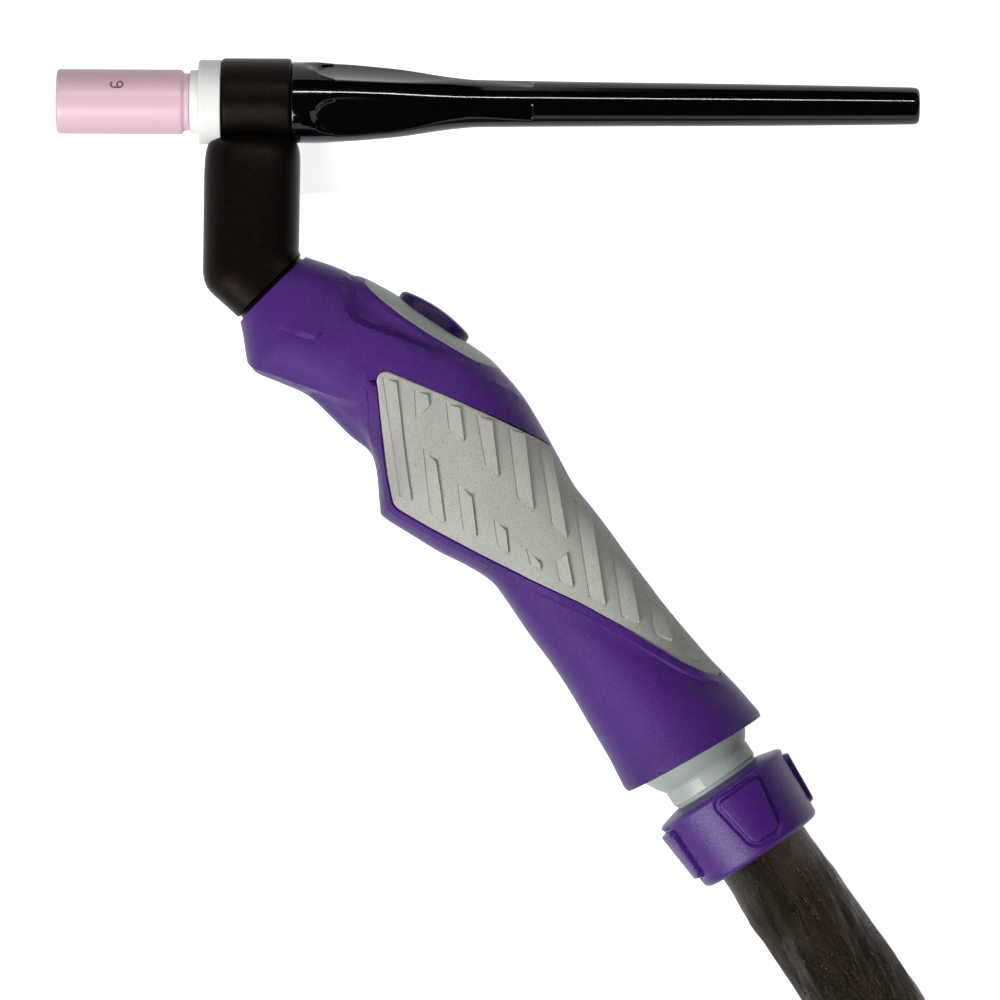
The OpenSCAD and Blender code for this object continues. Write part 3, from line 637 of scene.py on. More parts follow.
def tie_webbing():
    """Hook-and-loop nylon strap: a dull woven face with a fuzz of fine loops."""
    made, tree, shader, at = new_finish(
        "Nylon hook-and-loop", Roughness=0.85, Specular_IOR_Level=0.25, Sheen_Weight=0.4, Sheen_Roughness=0.6,
        Sheen_Tint=srgb("#5A5A60"),
    )
    loops = add(tree, "TexVoronoi", {"Vector": at, "Scale": per(0.7)}).outputs["Distance"]
    fuzz = noise(tree, at, per(0.35), 4.0)
    relief = bumps(tree, maths(tree, "MULTIPLY", loops, fuzz), 0.3)
    dress(tree, shader, tinted(tree, fuzz, srgb("#232326"), 0.6, 1.6), relief)
    return made


# ---------------------------------------------------------------- stage and cords

ROUTE_END = [
    [188.6, -202.9, -0.8], [199.8, -219.4, -2.4], [210, -235, -4.2], [219, -250, -5.8], [230.8, -274.4, -7],
    [240.1, -299.9, -7.1], [246.8, -326.1, -7.1], [250.8, -352.9, -7.1],
]
RUN = [
    [149, -246.6, -7.1], [163, -249.4, -7.6], [176, -252.4, -8.8], [188, -258, -10.2], [198.6, -267.5, -11.4],
    [207.5, -280, -12.2], [215, -294.5, -12.7], [221, -310.5, -12.8], [225.5, -328, -12.8],
]
TAIL = [
    [73, -408.7, -12.8], [66.4, -396, -12.8], [64, -382, -11.4], [65.6, -368, -9.4], [71, -355.2, -6.8],
    [81, -342.6, -3.6], [94, -334.2, -0.3], [109.5, -329.8, 0.1], [127, -328.6, 0.3], [144, -331.6, 1],
    [159, -338.6, 2.6], [170.6, -349, 4.8], [180.4, -362.4, 6.8], [184.7, -375.4, 7.9], [183.8, -388, 8.1],
]
LEAD = [
    [191.5, -400, 7], [196, -389, 5.2], [199.6, -377, 2], [202, -364, -1.4], [203, -350, -3.5],
    [198.4, -338, -3.5], [190, -326, -3.5], [179, -311, -3.5], [165, -299, -3.5], [147, -290.5, -3.5],
    [128, -286, -3.5], [108, -285.5, -3.5], [89, -289.5, -3.5], [71, -297.5, -3.5], [55, -309.5, -3.5],
    [42, -325, -3.5], [33, -343, -3.5], [28.8, -357, -3.5], [27, -371, -3.5], [27.6, -386, -0.8],
    [30, -400, 2.3], [33.4, -412, 2.5],
]
LOOP_CENTRE = np.array([114.0, -380.0])
LOOP_R = 138.0
LOOP_END = 78
BOOT_L = 34.0
COIL_OUT, COIL_IN = 117.0, 50.0
COIL_FROM, COIL_TO = 8.0, 215.0 - 6 * 360
TIE_TURNS = (90, 225, 330)
PLUG_AT, PLUG_TURN, PLUG_TILT = np.array([183.8, -388.0, 8.1]), -94, 3.2
CONTROL_AT, CONTROL_TURN = np.array([33.4, -412.0, 2.5]), -74


def on_loop(radius, degrees, z):
    a = math.radians(degrees)
    return [LOOP_CENTRE[0] + radius * math.cos(a), LOOP_CENTRE[1] + radius * math.sin(a), z]


def heading(turn, tilt=0):
    turn, tilt = math.radians(turn), math.radians(tilt)
    return (math.cos(turn) * math.cos(tilt), math.sin(turn) * math.cos(tilt), math.sin(tilt))


MIDDLE_OF_VIEW = Vector((0.11, -0.1, 0.0))
SENSOR_W = 36.0
SOFT_WORLD, PAPER_GLOW = 0.16, 0.85


class TORCH_OT_stage(bpy.types.Operator):
    """Make the camera, the lights, the world and the floor"""

    bl_idname = "torch.stage"
    bl_label = "Stage"

    def execute(self, context):
        s = context.scene.torch_stage
        context.scene.view_settings.view_transform = "Standard"
        cam = bpy.data.objects.new("camera", bpy.data.cameras.new("camera"))
        context.scene.collection.objects.link(cam)
        cam.location = (0.11129, -0.09907, s.camera_height)
        cam.rotation_euler = (0, 0, math.radians(0.3127))
        cam.data.sensor_width = SENSOR_W
        cam.data.lens = SENSOR_W * s.camera_height / s.frame_width
        cam.data.clip_start, cam.data.clip_end = 0.05, 20.0
        context.scene.camera = cam

        self.world(context.scene)
        self.lamp("key", (-0.36, -0.72, 0.77), (0.5, 0.5), s.key_power, aim=MIDDLE_OF_VIEW)
        self.lamp("fill", (0.9, 0.5, 0.8), (0.8, 0.8), s.fill_power, aim=MIDDLE_OF_VIEW)
        self.lamp("strip", (0.15, 0.262, 0.5), (0.42, 0.017), s.strip_power)

        cloth, tree = empty_material("Flag cloth, black")
        matt = add(tree, "BsdfDiffuse", {"Color": srgb("#161616")}).outputs[0]
        add(tree, "OutputMaterial", {"Surface": matt})
        for name, size, place, turn in (
            ("flag_above", 9.0, (0.4, 0.2, 2.1), (0, 0, 0)),
            ("flag_beside", 3.6, (1.35, 1.1, 1.2), (math.radians(90), 0, math.radians(-50))),
        ):
            flag = self.plane(name, size, place, turn, cloth)
            flag.visible_camera = flag.visible_transmission = flag.visible_shadow = False
            flag.visible_diffuse = name == "flag_beside"
        floor = self.plane("floor", 6.0, (0.1, -0.2, FLOOR_Z * MM - 0.00005), (0, 0, 0), self.paper())
        return {"FINISHED"}

    @staticmethod
    def world(scene):
        """White to the camera and in reflections, and a soft light for everything else."""
        scene.world = bpy.data.worlds.new("studio")
        scene.world.use_nodes = True
        tree = scene.world.node_tree
        tree.nodes.clear()
        path = add(tree, "LightPath").outputs
        seen = maths(tree, "MAXIMUM", path["Is Camera Ray"], path["Is Transmission Ray"])
        seen = maths(tree, "MAXIMUM", seen, path["Is Glossy Ray"])
        levels = (SOFT_WORLD, 1.0)
        plain = ({"Color": srgb(WHITE), "Strength": level} for level in levels)
        lit, white = (add(tree, "Background", sockets).outputs[0] for sockets in plain)
        mix = add(tree, "MixShader", {0: seen, 1: lit, 2: white}).outputs[0]
        add(tree, "OutputWorld", {"Surface": mix})

    @staticmethod
    def lamp(name, place, size, power, aim=None):
        lamp = bpy.data.lights.new(name, "AREA")
        lamp.shape, lamp.size, lamp.size_y, lamp.energy = "RECTANGLE", *size, power
        obj = bpy.data.objects.new(name, lamp)
        bpy.context.scene.collection.objects.link(obj)
        obj.location = place
        if aim:
            obj.rotation_euler = (aim - Vector(place)).to_track_quat("-Z", "Y").to_euler()

    @staticmethod
    def plane(name, size, place, turn, finish):
        pick()
        bpy.ops.mesh.primitive_plane_add(size=size, location=place, rotation=turn)
        made = bpy.context.object
        made.name = name
        made.data.materials.append(finish)
        return made

    @staticmethod
    def paper():
        """White paper: it glows to the camera, is bare white in reflections and lights the torch grey."""
        made, tree = empty_material("Paper, white")
        rays = add(tree, "LightPath").outputs
        greys = (srgb("#F4F4F4"), srgb("#8C8C8C"))
        paper, bounce = (add(tree, "BsdfDiffuse", {"Color": grey}).outputs[0] for grey in greys)
        levels = (PAPER_GLOW, 1.0)
        glow, bare = (add(tree, "Emission", {"Color": srgb(WHITE), "Strength": k}).outputs[0] for k in levels)
        lit = add(tree, "AddShader", {0: paper, 1: glow}).outputs[0]
        shown = add(tree, "MixShader", {0: rays["Is Camera Ray"], 1: bounce, 2: lit}).outputs[0]
        both = add(tree, "MixShader", {0: rays["Is Glossy Ray"], 1: shown, 2: bare}).outputs[0]
        add(tree, "OutputMaterial", {"Surface": both})
        return made


STRAP_W, STRAP_T = 14.0, 0.7


class TORCH_OT_cable(bpy.types.Operator):
    """Make the leather sleeve, its boot, the coiled hose, the ties, the plugs and the control lead"""

    bl_idname = "torch.cable"
    bl_label = "Cable set"

    def execute(self, context):
        s = context.scene.torch_cable
        boot_rubber, plug_rubber = (
            moulded(name, srgb(code), 0.4, depth, spread=0.25, rough=rough)
            for name, code, depth, rough in (
                ("Rubber, moulded boot", "#202022", 0.04, (0.45, 0.6)),
                ("Rubber, moulded plug", "#18181A", 0.05, (0.42, 0.58)),
            )
        )

        sleeve_r, hose_r = s.sleeve_diameter / MM / 2, s.hose_diameter / MM / 2
        sleeve_z = FLOOR_Z + sleeve_r
        start = [list(BALL + d * STEM_AXIS) for d in (31.2, 35.7)]
        arc = [on_loop(LOOP_R, -a, sleeve_z) for a in np.arange(0, 360 - LOOP_END + 0.1, 11.75)]
        line = spline(start + ROUTE_END + arc, 1.6)
        sleeve = tube("leather_sleeve", line, sleeve_r, sides=144, shape=self.folds)
        flat = coords(sleeve)
        flat[:, 2] = np.maximum(flat[:, 2], FLOOR_Z + 0.05)  # it lies on the floor
        set_coords(sleeve, flat)
        done(sleeve, "cable", leather(), "leather", "cable_sleeve", degrees=60)

        boot = self.boot(sleeve_r, sleeve_z)
        done(boot, "cable", boot_rubber, "boot_rubber", "sleeve_boot")

        hose_z = FLOOR_Z + 0.8 + hose_r
        turns = np.arange(COIL_FROM, COIL_TO, -12.0)
        radii = COIL_OUT + (COIL_IN - COIL_OUT) * (turns - COIL_FROM) / (COIL_TO - COIL_FROM)
        spiral = [on_loop(r, a, hose_z) for r, a in zip(radii, turns)]
        line = spline(RUN + spiral[:-1] + TAIL, 2.2)
        hose = tube("hose", line, hose_r, sides=24)
        black = hose_rubber("Rubber, extruded over braid", s.hose_colour, 1.6)
        done(hose, "cable", black, "hose_black", "hose_run", "hose_coil", "hose_tail", degrees=None)
        ties = self.ties(hose_r, hose_z)
        done(ties, "cable", tie_webbing(), "tie_fabric", "coil_ties")
        plug = self.power_plug()
        done(plug, "cable", plug_rubber, "plug_rubber", "plug_body")
        repaint(metal("Brass, turned", srgb("#C9A95A"), 0.3), "plug_pin")

        line = spline(LEAD, 1.5)
        lead = tube("control_cord", line, s.lead_diameter / MM / 2, sides=16)
        vinyl = hose_rubber("PVC, extruded", srgb("#1A1A1C"), 60)
        done(lead, "cable", vinyl, "lead_black", "control_lead", degrees=None)
        connector = self.control_connector()
        done(connector, "cable", plug_rubber, "control_black", "control_plug")
        ring = self.coupling()
        plated = metal("Zinc, nickel plated", srgb("#B9BABC"), 0.28)
        done(ring, "lead_coupling", plated, "coupling_metal", "coupling_ring")
        return {"FINISHED"}

    @staticmethod
    def folds(l, a):
        """Lengthwise folds with a slow twist, which start at the nut, and finer creases across them."""
        twist = a + l * 0.02
        rise = np.clip((l - 9) / 9, 0, 1)
        swell = np.sin(2 * twist + 0.9 * np.sin(l / 17) + 0.4) + 0.5 * np.sin(l / 6.5 + 2 * a)
        deep = np.abs(np.sin(1.5 * twist + 0.7 * np.sin(l / 29) + 0.9)) ** 0.7
        folds = np.abs(np.sin(4 * twist + 1.1 * np.sin(l / 21 + 2 * a) - l / 60))
        small = np.abs(np.sin(10 * twist + 1.3 * np.sin(l / 9.5) + 0.8 * np.sin(3 * a)))
        cross = np.abs(np.sin(l / 4.6 + 2.6 * np.sin(twist * 2))) * np.sin(twist * 2 + l / 19)
        return 0.965 + rise * (0.045 * swell + 0.07 * deep - 0.045 * folds - 0.022 * small - 0.02 * cross)

    @staticmethod
    def boot(sleeve_r, z):
        mouth = 8.2
        corners = [
            (0.4, 8.4), (0.4, sleeve_r - 0.2), (BOOT_L, 9.0), (BOOT_L + 0.4, mouth + 0.2), (BOOT_L, mouth),
        ]
        rings = fine(soft(corners, [0, 0.8, 1.0, 0.3, 0], closed=True), 0.5)

        def ribs(d, r, a):
            depth = 0.5 * band(d, 6, BOOT_L - 4, 3) * grooves(d, 4.0, 0.6)
            return d, r - np.where(r > mouth + 0.5, depth, 0)

        place, way = on_loop(LOOP_R, LOOP_END, z), heading(LOOP_END - 90)
        return turned("sleeve_end_boot", rings, place, way, steps=72, shape=ribs, loop=True)

    @staticmethod
    def ties(hose_r, z):
        """Straps wrapped flat round the coil's turns, with the overlapped end a little proud."""
        made = []
        inner, outer = COIL_IN - hose_r - 0.7, COIL_OUT + hose_r + 0.5
        top = hose_r + 0.05
        ring = soft([(inner, -top), (outer, -top), (outer, top), (inner, top)], 3.5, steps=5, closed=True)
        ring = fine(ring, 3.0, closed=True)
        widen = {"value": (0, STRAP_W * MM, 0)}
        for turn in TIE_TURNS:
            strap = outlined([(x, -STRAP_W / 2, up) for x, up in ring])
            edit(strap, lambda: bpy.ops.mesh.extrude_region_move(TRANSFORM_OT_translate=widen), face_out)
            p = coords(strap)
            upper = p[:, 2] > top - 0.2
            overlap = upper & (p[:, 0] > 70) & (p[:, 0] < 100)
            p[overlap, 2] += 0.35
            p[:, 2] += np.where(upper, 0.12 * np.cos(2 * math.pi * (p[:, 0] - COIL_IN) / 12.35) - 0.1, 0)
            set_coords(strap, p)
            use(strap, "SOLIDIFY", thickness=STRAP_T * MM, offset=1.0)
            strap.data.transform(Matrix.Rotation(math.radians(turn), 4, "Z"))
            strap.data.transform(Matrix.Translation((LOOP_CENTRE[0] * MM, LOOP_CENTRE[1] * MM, z * MM)))
            made.append(strap)
        return join(made, "coil_straps")

    @staticmethod
    def power_plug():
        corners = [
            (0.1, 6.1), (0.1, 8.5), (10, 9.6), (16, 10.5), (20, 12.6), (24, 14), (66, 14), (68, 13),
            (68, 6.2), (54, 6.2),
        ]
        profile = soft(corners, [0, 1, 1, 1.5, 1.5, 2, 1.5, 0.6, 0, 0])

        def grip(d, r, a):
            flute = np.clip(np.cos(12 * a) * 2.2, -1, 1)
            relief = band(d, 2, 14, 1) * grooves(d, 3.0, 0.5)
            pads = band(d, 27, 61, 1.5) * (r > 12) * 0.35 * (1 - flute)
            return d, r - pads - np.where(r > 8, 0.7 * relief, 0)

        way = heading(PLUG_TURN, PLUG_TILT)
        return turned("power_plug", fine(profile, 0.5), PLUG_AT, way, steps=144, shape=grip)

    @staticmethod
    def control_connector():
        corners = [
            (0.1, 0), (0.1, 4), (12, 6), (14, 8), (27, 8), (27, 6.5), (40, 6.5), (40, 5.4), (34, 5.4),
            (34, 0),
        ]
        profile = soft(corners, [0, 0.8, 1, 1, 0.8, 0.2, 0.4, 0.2, 0.2, 0])

        def ribs(d, r, a):
            groove = grooves(d, 2.4, 0.45) * band(d, 1, 12, 1)
            flat = band(d, 15, 26, 0.8) * (np.cos(8 * a) > 0)
            return d, r - np.where(r > 3, 0.5 * groove, 0) - np.where(r > 7, 0.3 * flat, 0)

        return turned("control_connector", fine(profile, 0.4), CONTROL_AT, heading(CONTROL_TURN), shape=ribs)

    @staticmethod
    def coupling():
        profile = soft([(27.3, 6.56), (27.3, 8.4), (38, 8.4), (38, 6.56)], 0.4, closed=True)
        rings = fine(profile, 0.35, closed=True)

        def knurl(d, r, a):
            diamonds = 1 - np.cos(36 * a + d * 5) * np.cos(36 * a - d * 5)
            return d, r - band(d, 29, 36.4, 0.4) * (r > 8) * 0.18 * diamonds

        way = heading(CONTROL_TURN)
        return turned("coupling_collar", rings, CONTROL_AT, way, steps=216, shape=knurl, loop=True)


# ---------------------------------------------------------------- the handle's surface

NOSE = np.array([54.1, -46.9])
TURN = math.radians(-50)
REAR = math.radians(-10)
RIM_R = 19.5
LIP_R = 15.5
NOSE_HOLE_R = 9.4
GRIP = [
    # spine u, v, belly u, v, half thickness, bluntness
    (-0.9, 11.8, 1.1, -11.3, 11.6, 2.3),
    (4.7, 15.3, 5.5, -13.5, 13.4, 2.5),
    (9.4, 17.8, 11.4, -16.1, 14.4, 2.6),
    (12.7, 19.8, 13.8, -16.1, 15, 2.6),
    (20.8, 23.1, 19.5, -13.1, 15.6, 2.6),
    (28.5, 25.4, 26, -10, 16, 2.6),
    (35, 27.3, 34, -8.9, 16.4, 2.6),
    (41.6, 29.2, 40.4, -8.3, 16.8, 2.6),
    (47, 30.7, 46.8, -7.1, 17.2, 2.6),
    (51.5, 31.2, 51.7, -9, 17.6, 2.6),
    (56.8, 31.4, 59, -14, 18, 2.6),
    (62.7, 31.1, 61.6, -14.8, 18.2, 2.6),
    (72.9, 29.4, 70, -12.1, 18.4, 2.6),
    (80, 28, 77, -9.7, 18.2, 2.6),
    (86, 26.9, 84, -6.6, 17.9, 2.6),
    (92, 26.8, 90.4, -4.5, 17.5, 2.5),
    (98, 26.6, 95.5, -4.4, 17.2, 2.5),
    (109, 25.9, 106.9, -5.5, 16.9, 2.4),
    (117, 25.5, 115.7, -5.9, 16.8, 2.3),
    (125, 25.2, 124.3, -6.8, 16.9, 2.2),
    (139.5, 25.4, 133.6, -8.3, 17.5, 2.1),
]
TYPICAL = (20.0, 17.5, 2.5)  # half width, half thickness and bluntness of a middling section
AXIS_REAR = np.array([math.cos(REAR), math.sin(REAR)])
SIDE_REAR = np.array([-math.sin(REAR), math.cos(REAR)])
RIM_CENTRE = np.array([156.5, 7.2])


def rear_rows():
    rows = []
    for back in (10, 5, 0):
        c = RIM_CENTRE - back * AXIS_REAR - [0, 0.08 * back]
        w = RIM_R - 0.12 * back
        rows.append((*(c + w * SIDE_REAR), *(c - w * SIDE_REAR), w, 2.0))
    return rows


ROWS = spline(GRIP + rear_rows(), 0.35)
SPINE, BELLY = ROWS[:, 0:2], ROWS[:, 2:4]
MIDDLE = (SPINE + BELLY) / 2
ALONG = run_of(MIDDLE)
GRIP_L = ALONG[-1]
NOSE_SIDE = (SPINE[0] - BELLY[0]) / np.linalg.norm(SPINE[0] - BELLY[0])
NOSE_FACE = 3.0  # how far the surface runs in over the nose's front face
RIM_BAND, RIM_CHAMFER = 1.2, 0.45
REAR_FACE = np.array([(0, RIM_R - RIM_CHAMFER), (0, LIP_R + 0.4), (-0.4, LIP_R), (-1.5, LIP_R)])
REAR_RUN = run_of(REAR_FACE)
REAR_L = float(REAR_RUN[-1])


def power(t, bluntness):
    return np.sign(t) * np.abs(t) ** (2 / bluntness)


TURNS = (1 - np.cos(np.linspace(0, math.pi, 1201))) * math.pi / 2
TURNS = np.unique(np.concatenate([TURNS, math.pi / 2 - TURNS / 2, math.pi / 2 + TURNS / 2]))
ROUND = run_of(np.stack([k * power(f(TURNS), TYPICAL[2]) for k, f in zip(TYPICAL, (np.cos, np.sin))], axis=1))
GIRTH = float(ROUND[-1])  # millimetres round the upper half, from spine to belly


def row_at(s):
    """The surface's rows at distances along it: spine, belly, half thickness and bluntness."""
    return np.stack([np.interp(s, ALONG, ROWS[:, k]) for k in range(6)], axis=-1)


def surface(s, y):
    """Points in the handle's u, v and z for distances along (s) and round (y) its upper half."""
    s, y = np.asarray(s, float), np.asarray(y, float)
    f = np.interp(y, ROUND, TURNS)
    row = row_at(np.clip(s, 0, GRIP_L))
    chamfer = 1 - RIM_CHAMFER / RIM_R * np.clip((s - GRIP_L) / RIM_BAND + 1, 0, 1)[..., None]
    spine, belly, t, blunt = row[..., 0:2], row[..., 2:4], row[..., 4:5], row[..., 5:6]
    across = power(np.cos(f)[..., None], blunt) * chamfer
    uv = (spine + belly) / 2 + (spine - belly) / 2 * across
    z = t[..., 0] * power(np.sin(f), blunt[..., 0]) * chamfer[..., 0]
    front = np.clip(-s / NOSE_FACE, 0, 1)[..., None]
    uv = uv * (1 - front) + front * (NOSE_HOLE_R * np.cos(f)[..., None] * NOSE_SIDE)
    z = z * (1 - front[..., 0]) + front[..., 0] * NOSE_HOLE_R * np.sin(f)
    past = s - GRIP_L
    away, r = (np.interp(past, REAR_RUN, REAR_FACE[:, k]) for k in (0, 1))
    rim = RIM_CENTRE + away[..., None] * AXIS_REAR + (r * np.cos(f))[..., None] * SIDE_REAR
    behind = past > 0
    uv = np.where(behind[..., None], rim, uv)
    z = np.where(behind, r * np.sin(f), z)
    return np.concatenate([uv, z[..., None]], axis=-1)


def to_torch(p):
    """The handle's u, v and z in the torch's X, Y and Z."""
    return turned_about(p, NOSE, TURN)


def turned_about(p, origin, turn):
    """Points turned in their first two coordinates and moved to an origin."""
    c, s = math.cos(turn), math.sin(turn)
    x, y = p[..., 0], p[..., 1]
    return np.stack([origin[0] + x * c - y * s, origin[1] + x * s + y * c, p[..., 2]], axis=-1)


def outward(s, y):
    """The surface's normals in u, v and z."""
    step = 0.05
    along = surface(np.minimum(s + step, GRIP_L + REAR_L), y) - surface(np.maximum(s - step, -NOSE_FACE), y)
    around = surface(s, np.minimum(y + step, GIRTH)) - surface(s, np.maximum(y - step, 0))
    return unit(np.cross(around, along))


def unit(v):
    return v / np.maximum(np.linalg.norm(v, axis=-1, keepdims=True), TINY)


def on_surface(points):
    """Where points of the handle's plan (u, v) lie on the surface, as distances along and round it."""
    out = []
    way = SPINE - BELLY
    for p in points:
        rel = np.array(p) - BELLY
        side = rel[:, 0] * way[:, 1] - rel[:, 1] * way[:, 0]
        cross = np.where(np.sign(side[:-1]) != np.sign(side[1:]))[0]
        if len(cross):
            k = cross[np.argmin(np.linalg.norm(MIDDLE[cross] - p, axis=1))]
            share = side[k] / (side[k] - side[k + 1])
        else:
            k, share = (0, 0.0) if side[0] < 0 else (len(ROWS) - 2, 1.0)
        row = ROWS[k] * (1 - share) + ROWS[k + 1] * share
        half = (row[0:2] - row[2:4]) / 2
        c = np.dot(np.array(p) - (row[0:2] + row[2:4]) / 2, half) / np.dot(half, half)
        c = float(np.clip(c, -1, 1))
        f = math.acos(math.copysign(abs(c) ** (row[5] / 2), c))
        out.append((ALONG[k] * (1 - share) + ALONG[k + 1] * share, np.interp(f, TURNS, ROUND)))
    return np.array(out)


# ---------------------------------------------------------------- patches of that surface


def stretches(points, line):
    """Each straight stretch of a line: its start, its end, its way and how far off every point is."""
    for p, q in zip(line[:-1], line[1:]):
        d = q - p
        t = np.clip(((points - p) @ d) / max(d @ d, 1e-12), 0, 1)
        yield p, q, d, np.linalg.norm(points - p - t[:, None] * d, axis=1)


def distance(points, line, closed=False):
    """Each point's distance from a line; inside a closed one it is negative."""
    line = np.asarray(line, float)
    best, inside = np.full(len(points), FAR), np.zeros(len(points), bool)
    for p, q, d, far in stretches(points, np.vstack([line, line[:1]]) if closed else line):
        best = np.minimum(best, far)
        if closed:
            over = (p[1] > points[:, 1]) != (q[1] > points[:, 1])
            slope = d[0] / (d[1] if abs(d[1]) > 1e-12 else 1e-12)
            inside ^= over & (points[:, 0] < p[0] + (points[:, 1] - p[1]) * slope)
    return np.where(inside, -best, best)


def below(points, line):
    """Which points lie on the belly's side of an open line, by its nearest stretch."""
    best, side = np.full(len(points), FAR), np.zeros(len(points))
    for p, _, d, far in stretches(points, line):
        cross = d[0] * (points[:, 1] - p[1]) - d[1] * (points[:, 0] - p[0])
        side = np.where(far < best, cross, side)
        best = np.minimum(best, far)
    return side > 0


def offset(loop, by):
    """A closed loop moved outwards by a distance."""
    p = np.asarray(loop, float)
    area = np.sum(p[:, 0] * np.roll(p[:, 1], -1) - p[:, 1] * np.roll(p[:, 0], -1))
    ways = unit(p - np.roll(p, 1, axis=0)), unit(np.roll(p, -1, axis=0) - p)
    before, after = (np.stack([d[:, 1], -d[:, 0]], axis=1) for d in ways)
    n = unit(before + after)
    # a sharp corner moves at most twice as far
    stretch = 1 / np.maximum(np.abs(np.sum(n * before, axis=1)), 0.5)
    return p + n * (by * stretch * math.copysign(1, area))[:, None]


def patch(name, edge, lines, spacing, rise):
    """A piece of the handle's surface inside `edge`, with edges along every one of `lines` (loops and open
    lines, in distances along and round the surface), lifted off it by rise(points). Its "inset" attribute is
    each point's distance from the edge, in millimetres."""
    edge = np.array(fine(edge, spacing, closed=True))
    lo, hi = edge.min(0), edge.max(0)
    sides = (np.arange(low, high, step) for low, high, step in zip(lo, hi, (spacing, spacing * 0.9)))
    x, y = np.meshgrid(*sides, indexing="ij")
    x = x + (np.arange(x.shape[1]) % 2)[None, :] * spacing / 2
    grid = np.stack([x.ravel(), y.ravel()], axis=1)
    grid = grid[distance(grid, edge, closed=True) < -0.45 * spacing]
    fixed, pairs = [edge], [(i, (i + 1) % len(edge)) for i in range(len(edge))]
    count = len(edge)
    for line, closed in lines:
        p = np.array(fine(line, spacing * 0.6, closed))
        n = len(p)
        fixed.append(np.clip(p, lo, hi))
        pairs += [(count + i, count + (i + 1) % n) for i in range(n if closed else n - 1)]
        count += n
        grid = grid[np.abs(distance(grid, p, closed)) > 0.4 * spacing]
    points = np.vstack(fixed + [grid])
    made = delaunay_2d_cdt([Vector(p) for p in points], pairs, [], 0, 1e-5)
    flat = np.array([tuple(v) for v in made[0]])
    faces = [list(f) for f in made[2]]
    centre = np.array([flat[f].mean(0) for f in faces])
    inside = distance(centre, edge, closed=True) < 1e-6
    faces = [f[::-1] for f, keep in zip(faces, inside) if keep]
    s, around = flat[:, 0], flat[:, 1]
    p = surface(s, around) + outward(s, around) * rise(flat)[:, None]
    obj = from_points(name, to_torch(p), faces)
    inset = obj.data.attributes.new("inset", "FLOAT", "POINT")
    inset.data.foreach_set("value", -distance(flat, edge, closed=True))
    with loose(obj) as bm:
        bmesh.ops.delete(bm, geom=[v for v in bm.verts if not v.link_faces], context="VERTS")
    return obj


def mirrored(obj, name):
    """A copy of a piece, turned over to the other side of the parting plane."""
    copy = obj.copy()
    copy.data = obj.data.copy()
    bpy.context.scene.collection.objects.link(copy)
    return turn_over(named(copy, name))


# ---------------------------------------------------------------- shells, grip panels, bezel and button

# Outlines in the handle's u and v, in millimetres
PANEL = [
    (33.4, 6.3), (33.7, 8.9), (49.5, 17.2), (62.1, 23.4), (71.5, 27.7), (74, 28.6), (86, 26.35), (98, 26.1),
    (109, 25.4), (125, 24.7), (139.5, 24.9), (145, 25), (145.3, 24.6), (142.4, 22), (136.7, 19.4),
    (122.7, 14.5),
    (109.2, 9.2), (96.4, 3.2), (83.3, -2.5), (70, -8), (62.6, -10.7), (60.9, -10.9), (59.6, -10.4),
    (54.6, -7.7),
    (46.3, -2.5),
]
PANEL_CORNERS = {0: 1.6, 1: 1.6, 4: 1.0, 5: 0.8, 13: 0.5, 20: 1.2, 21: 1.2, 22: 1.2}
RIM_LINE = PANEL[12:] + PANEL[:2]
RIM_W = 2.3
FRONT_RIDGE = [(9.5, -16.0), (12.1, -15.4), (19.5, -11.0), (25.5, -7.5), (32.5, -3.4), (36.5, -0.8)]
FINGER_SCALLOP = [(23.4, -10.2), (32.5, -3.4), (36.5, -0.7), (38.6, -1.2), (41.9, -3.5), (48.9, -7.2)]
THUMB_SCOOP = [
    (8.6, 17.2), (10.6, 14.0), (14.8, 11.3), (18.3, 10.5), (22.0, 11.6), (29.3, 16.1), (37.0, 20.3),
    (44.3, 24.8),
    (48.8, 28.1), (52.0, 30.9),
]
SPINE_CREASE = [(46.1, 22.6), (53.1, 27.4), (57.8, 29.7), (63.0, 30.6)]
WEDGE = [(7.2, -5.6), (12, -2.9), (15.6, -0.8), (17.0, 0.4), (17.3, 1.6), (16.8, 2.6)]
BEZEL_EDGE = [
    (12.7, 19.7), (13.6, 18.9), (15.6, 18.8), (19.4, 19.3), (26.8, 20.9), (33.7, 23.0), (40.2, 25.3),
    (46.7, 27.8),
    (49.4, 29.4), (51.4, 31.0),
]
RIBS = [
    [(34.9, 7.3), (38.1, 9.1), (62.7, -6.2), (60.2, -8.2)],
    [(42.3, 11.4), (45.6, 13.1), (47.7, 11.7), (47.9, 7.2)],
    [(55.0, 3.7), (59.5, 4.1), (72.0, -3.3), (68.3, -5.0)],
    [(49.7, 15.4), (53.0, 17.0), (59.8, 12.8), (54.7, 12.1)],
    [(66.9, 4.8), (71.7, 5.4), (79.8, 0.4), (76.7, -1.4)],
    [(57.0, 19.1), (60.5, 20.9), (72.0, 13.7), (67.6, 13.2)],
    [(79.4, 6.1), (83.5, 6.6), (88.0, 3.8), (85.1, 2.7)],
    [(64.6, 23.1), (68.1, 24.8), (83.9, 15.0), (79.2, 13.9)],
    [(90.2, 7.6), (95.2, 8.0), (96.4, 7.2), (93.6, 6.0)],
    [(72.7, 26.2), (75.6, 26.9), (94.4, 16.9), (89.5, 16.4)],
    [(97.4, 11.1), (97.5, 14.4), (104.8, 10.5), (101.5, 8.9)],
    [(88.2, 24.4), (95.0, 23.9), (113.3, 13.7), (109.3, 12.0)],
    [(103.6, 23.8), (110.6, 23.2), (122.0, 17.2), (118.1, 15.0)],
    [(118.2, 23.2), (124.8, 22.7), (130.7, 20.4), (126.4, 18.5)],
    [(131.6, 23.4), (138.0, 23.1), (138.6, 22.4), (135.6, 21.2)],
]
SCREWS = [(14, -11.4), (58, 25.6), (60.5, -9.2), (112, -0.4)]
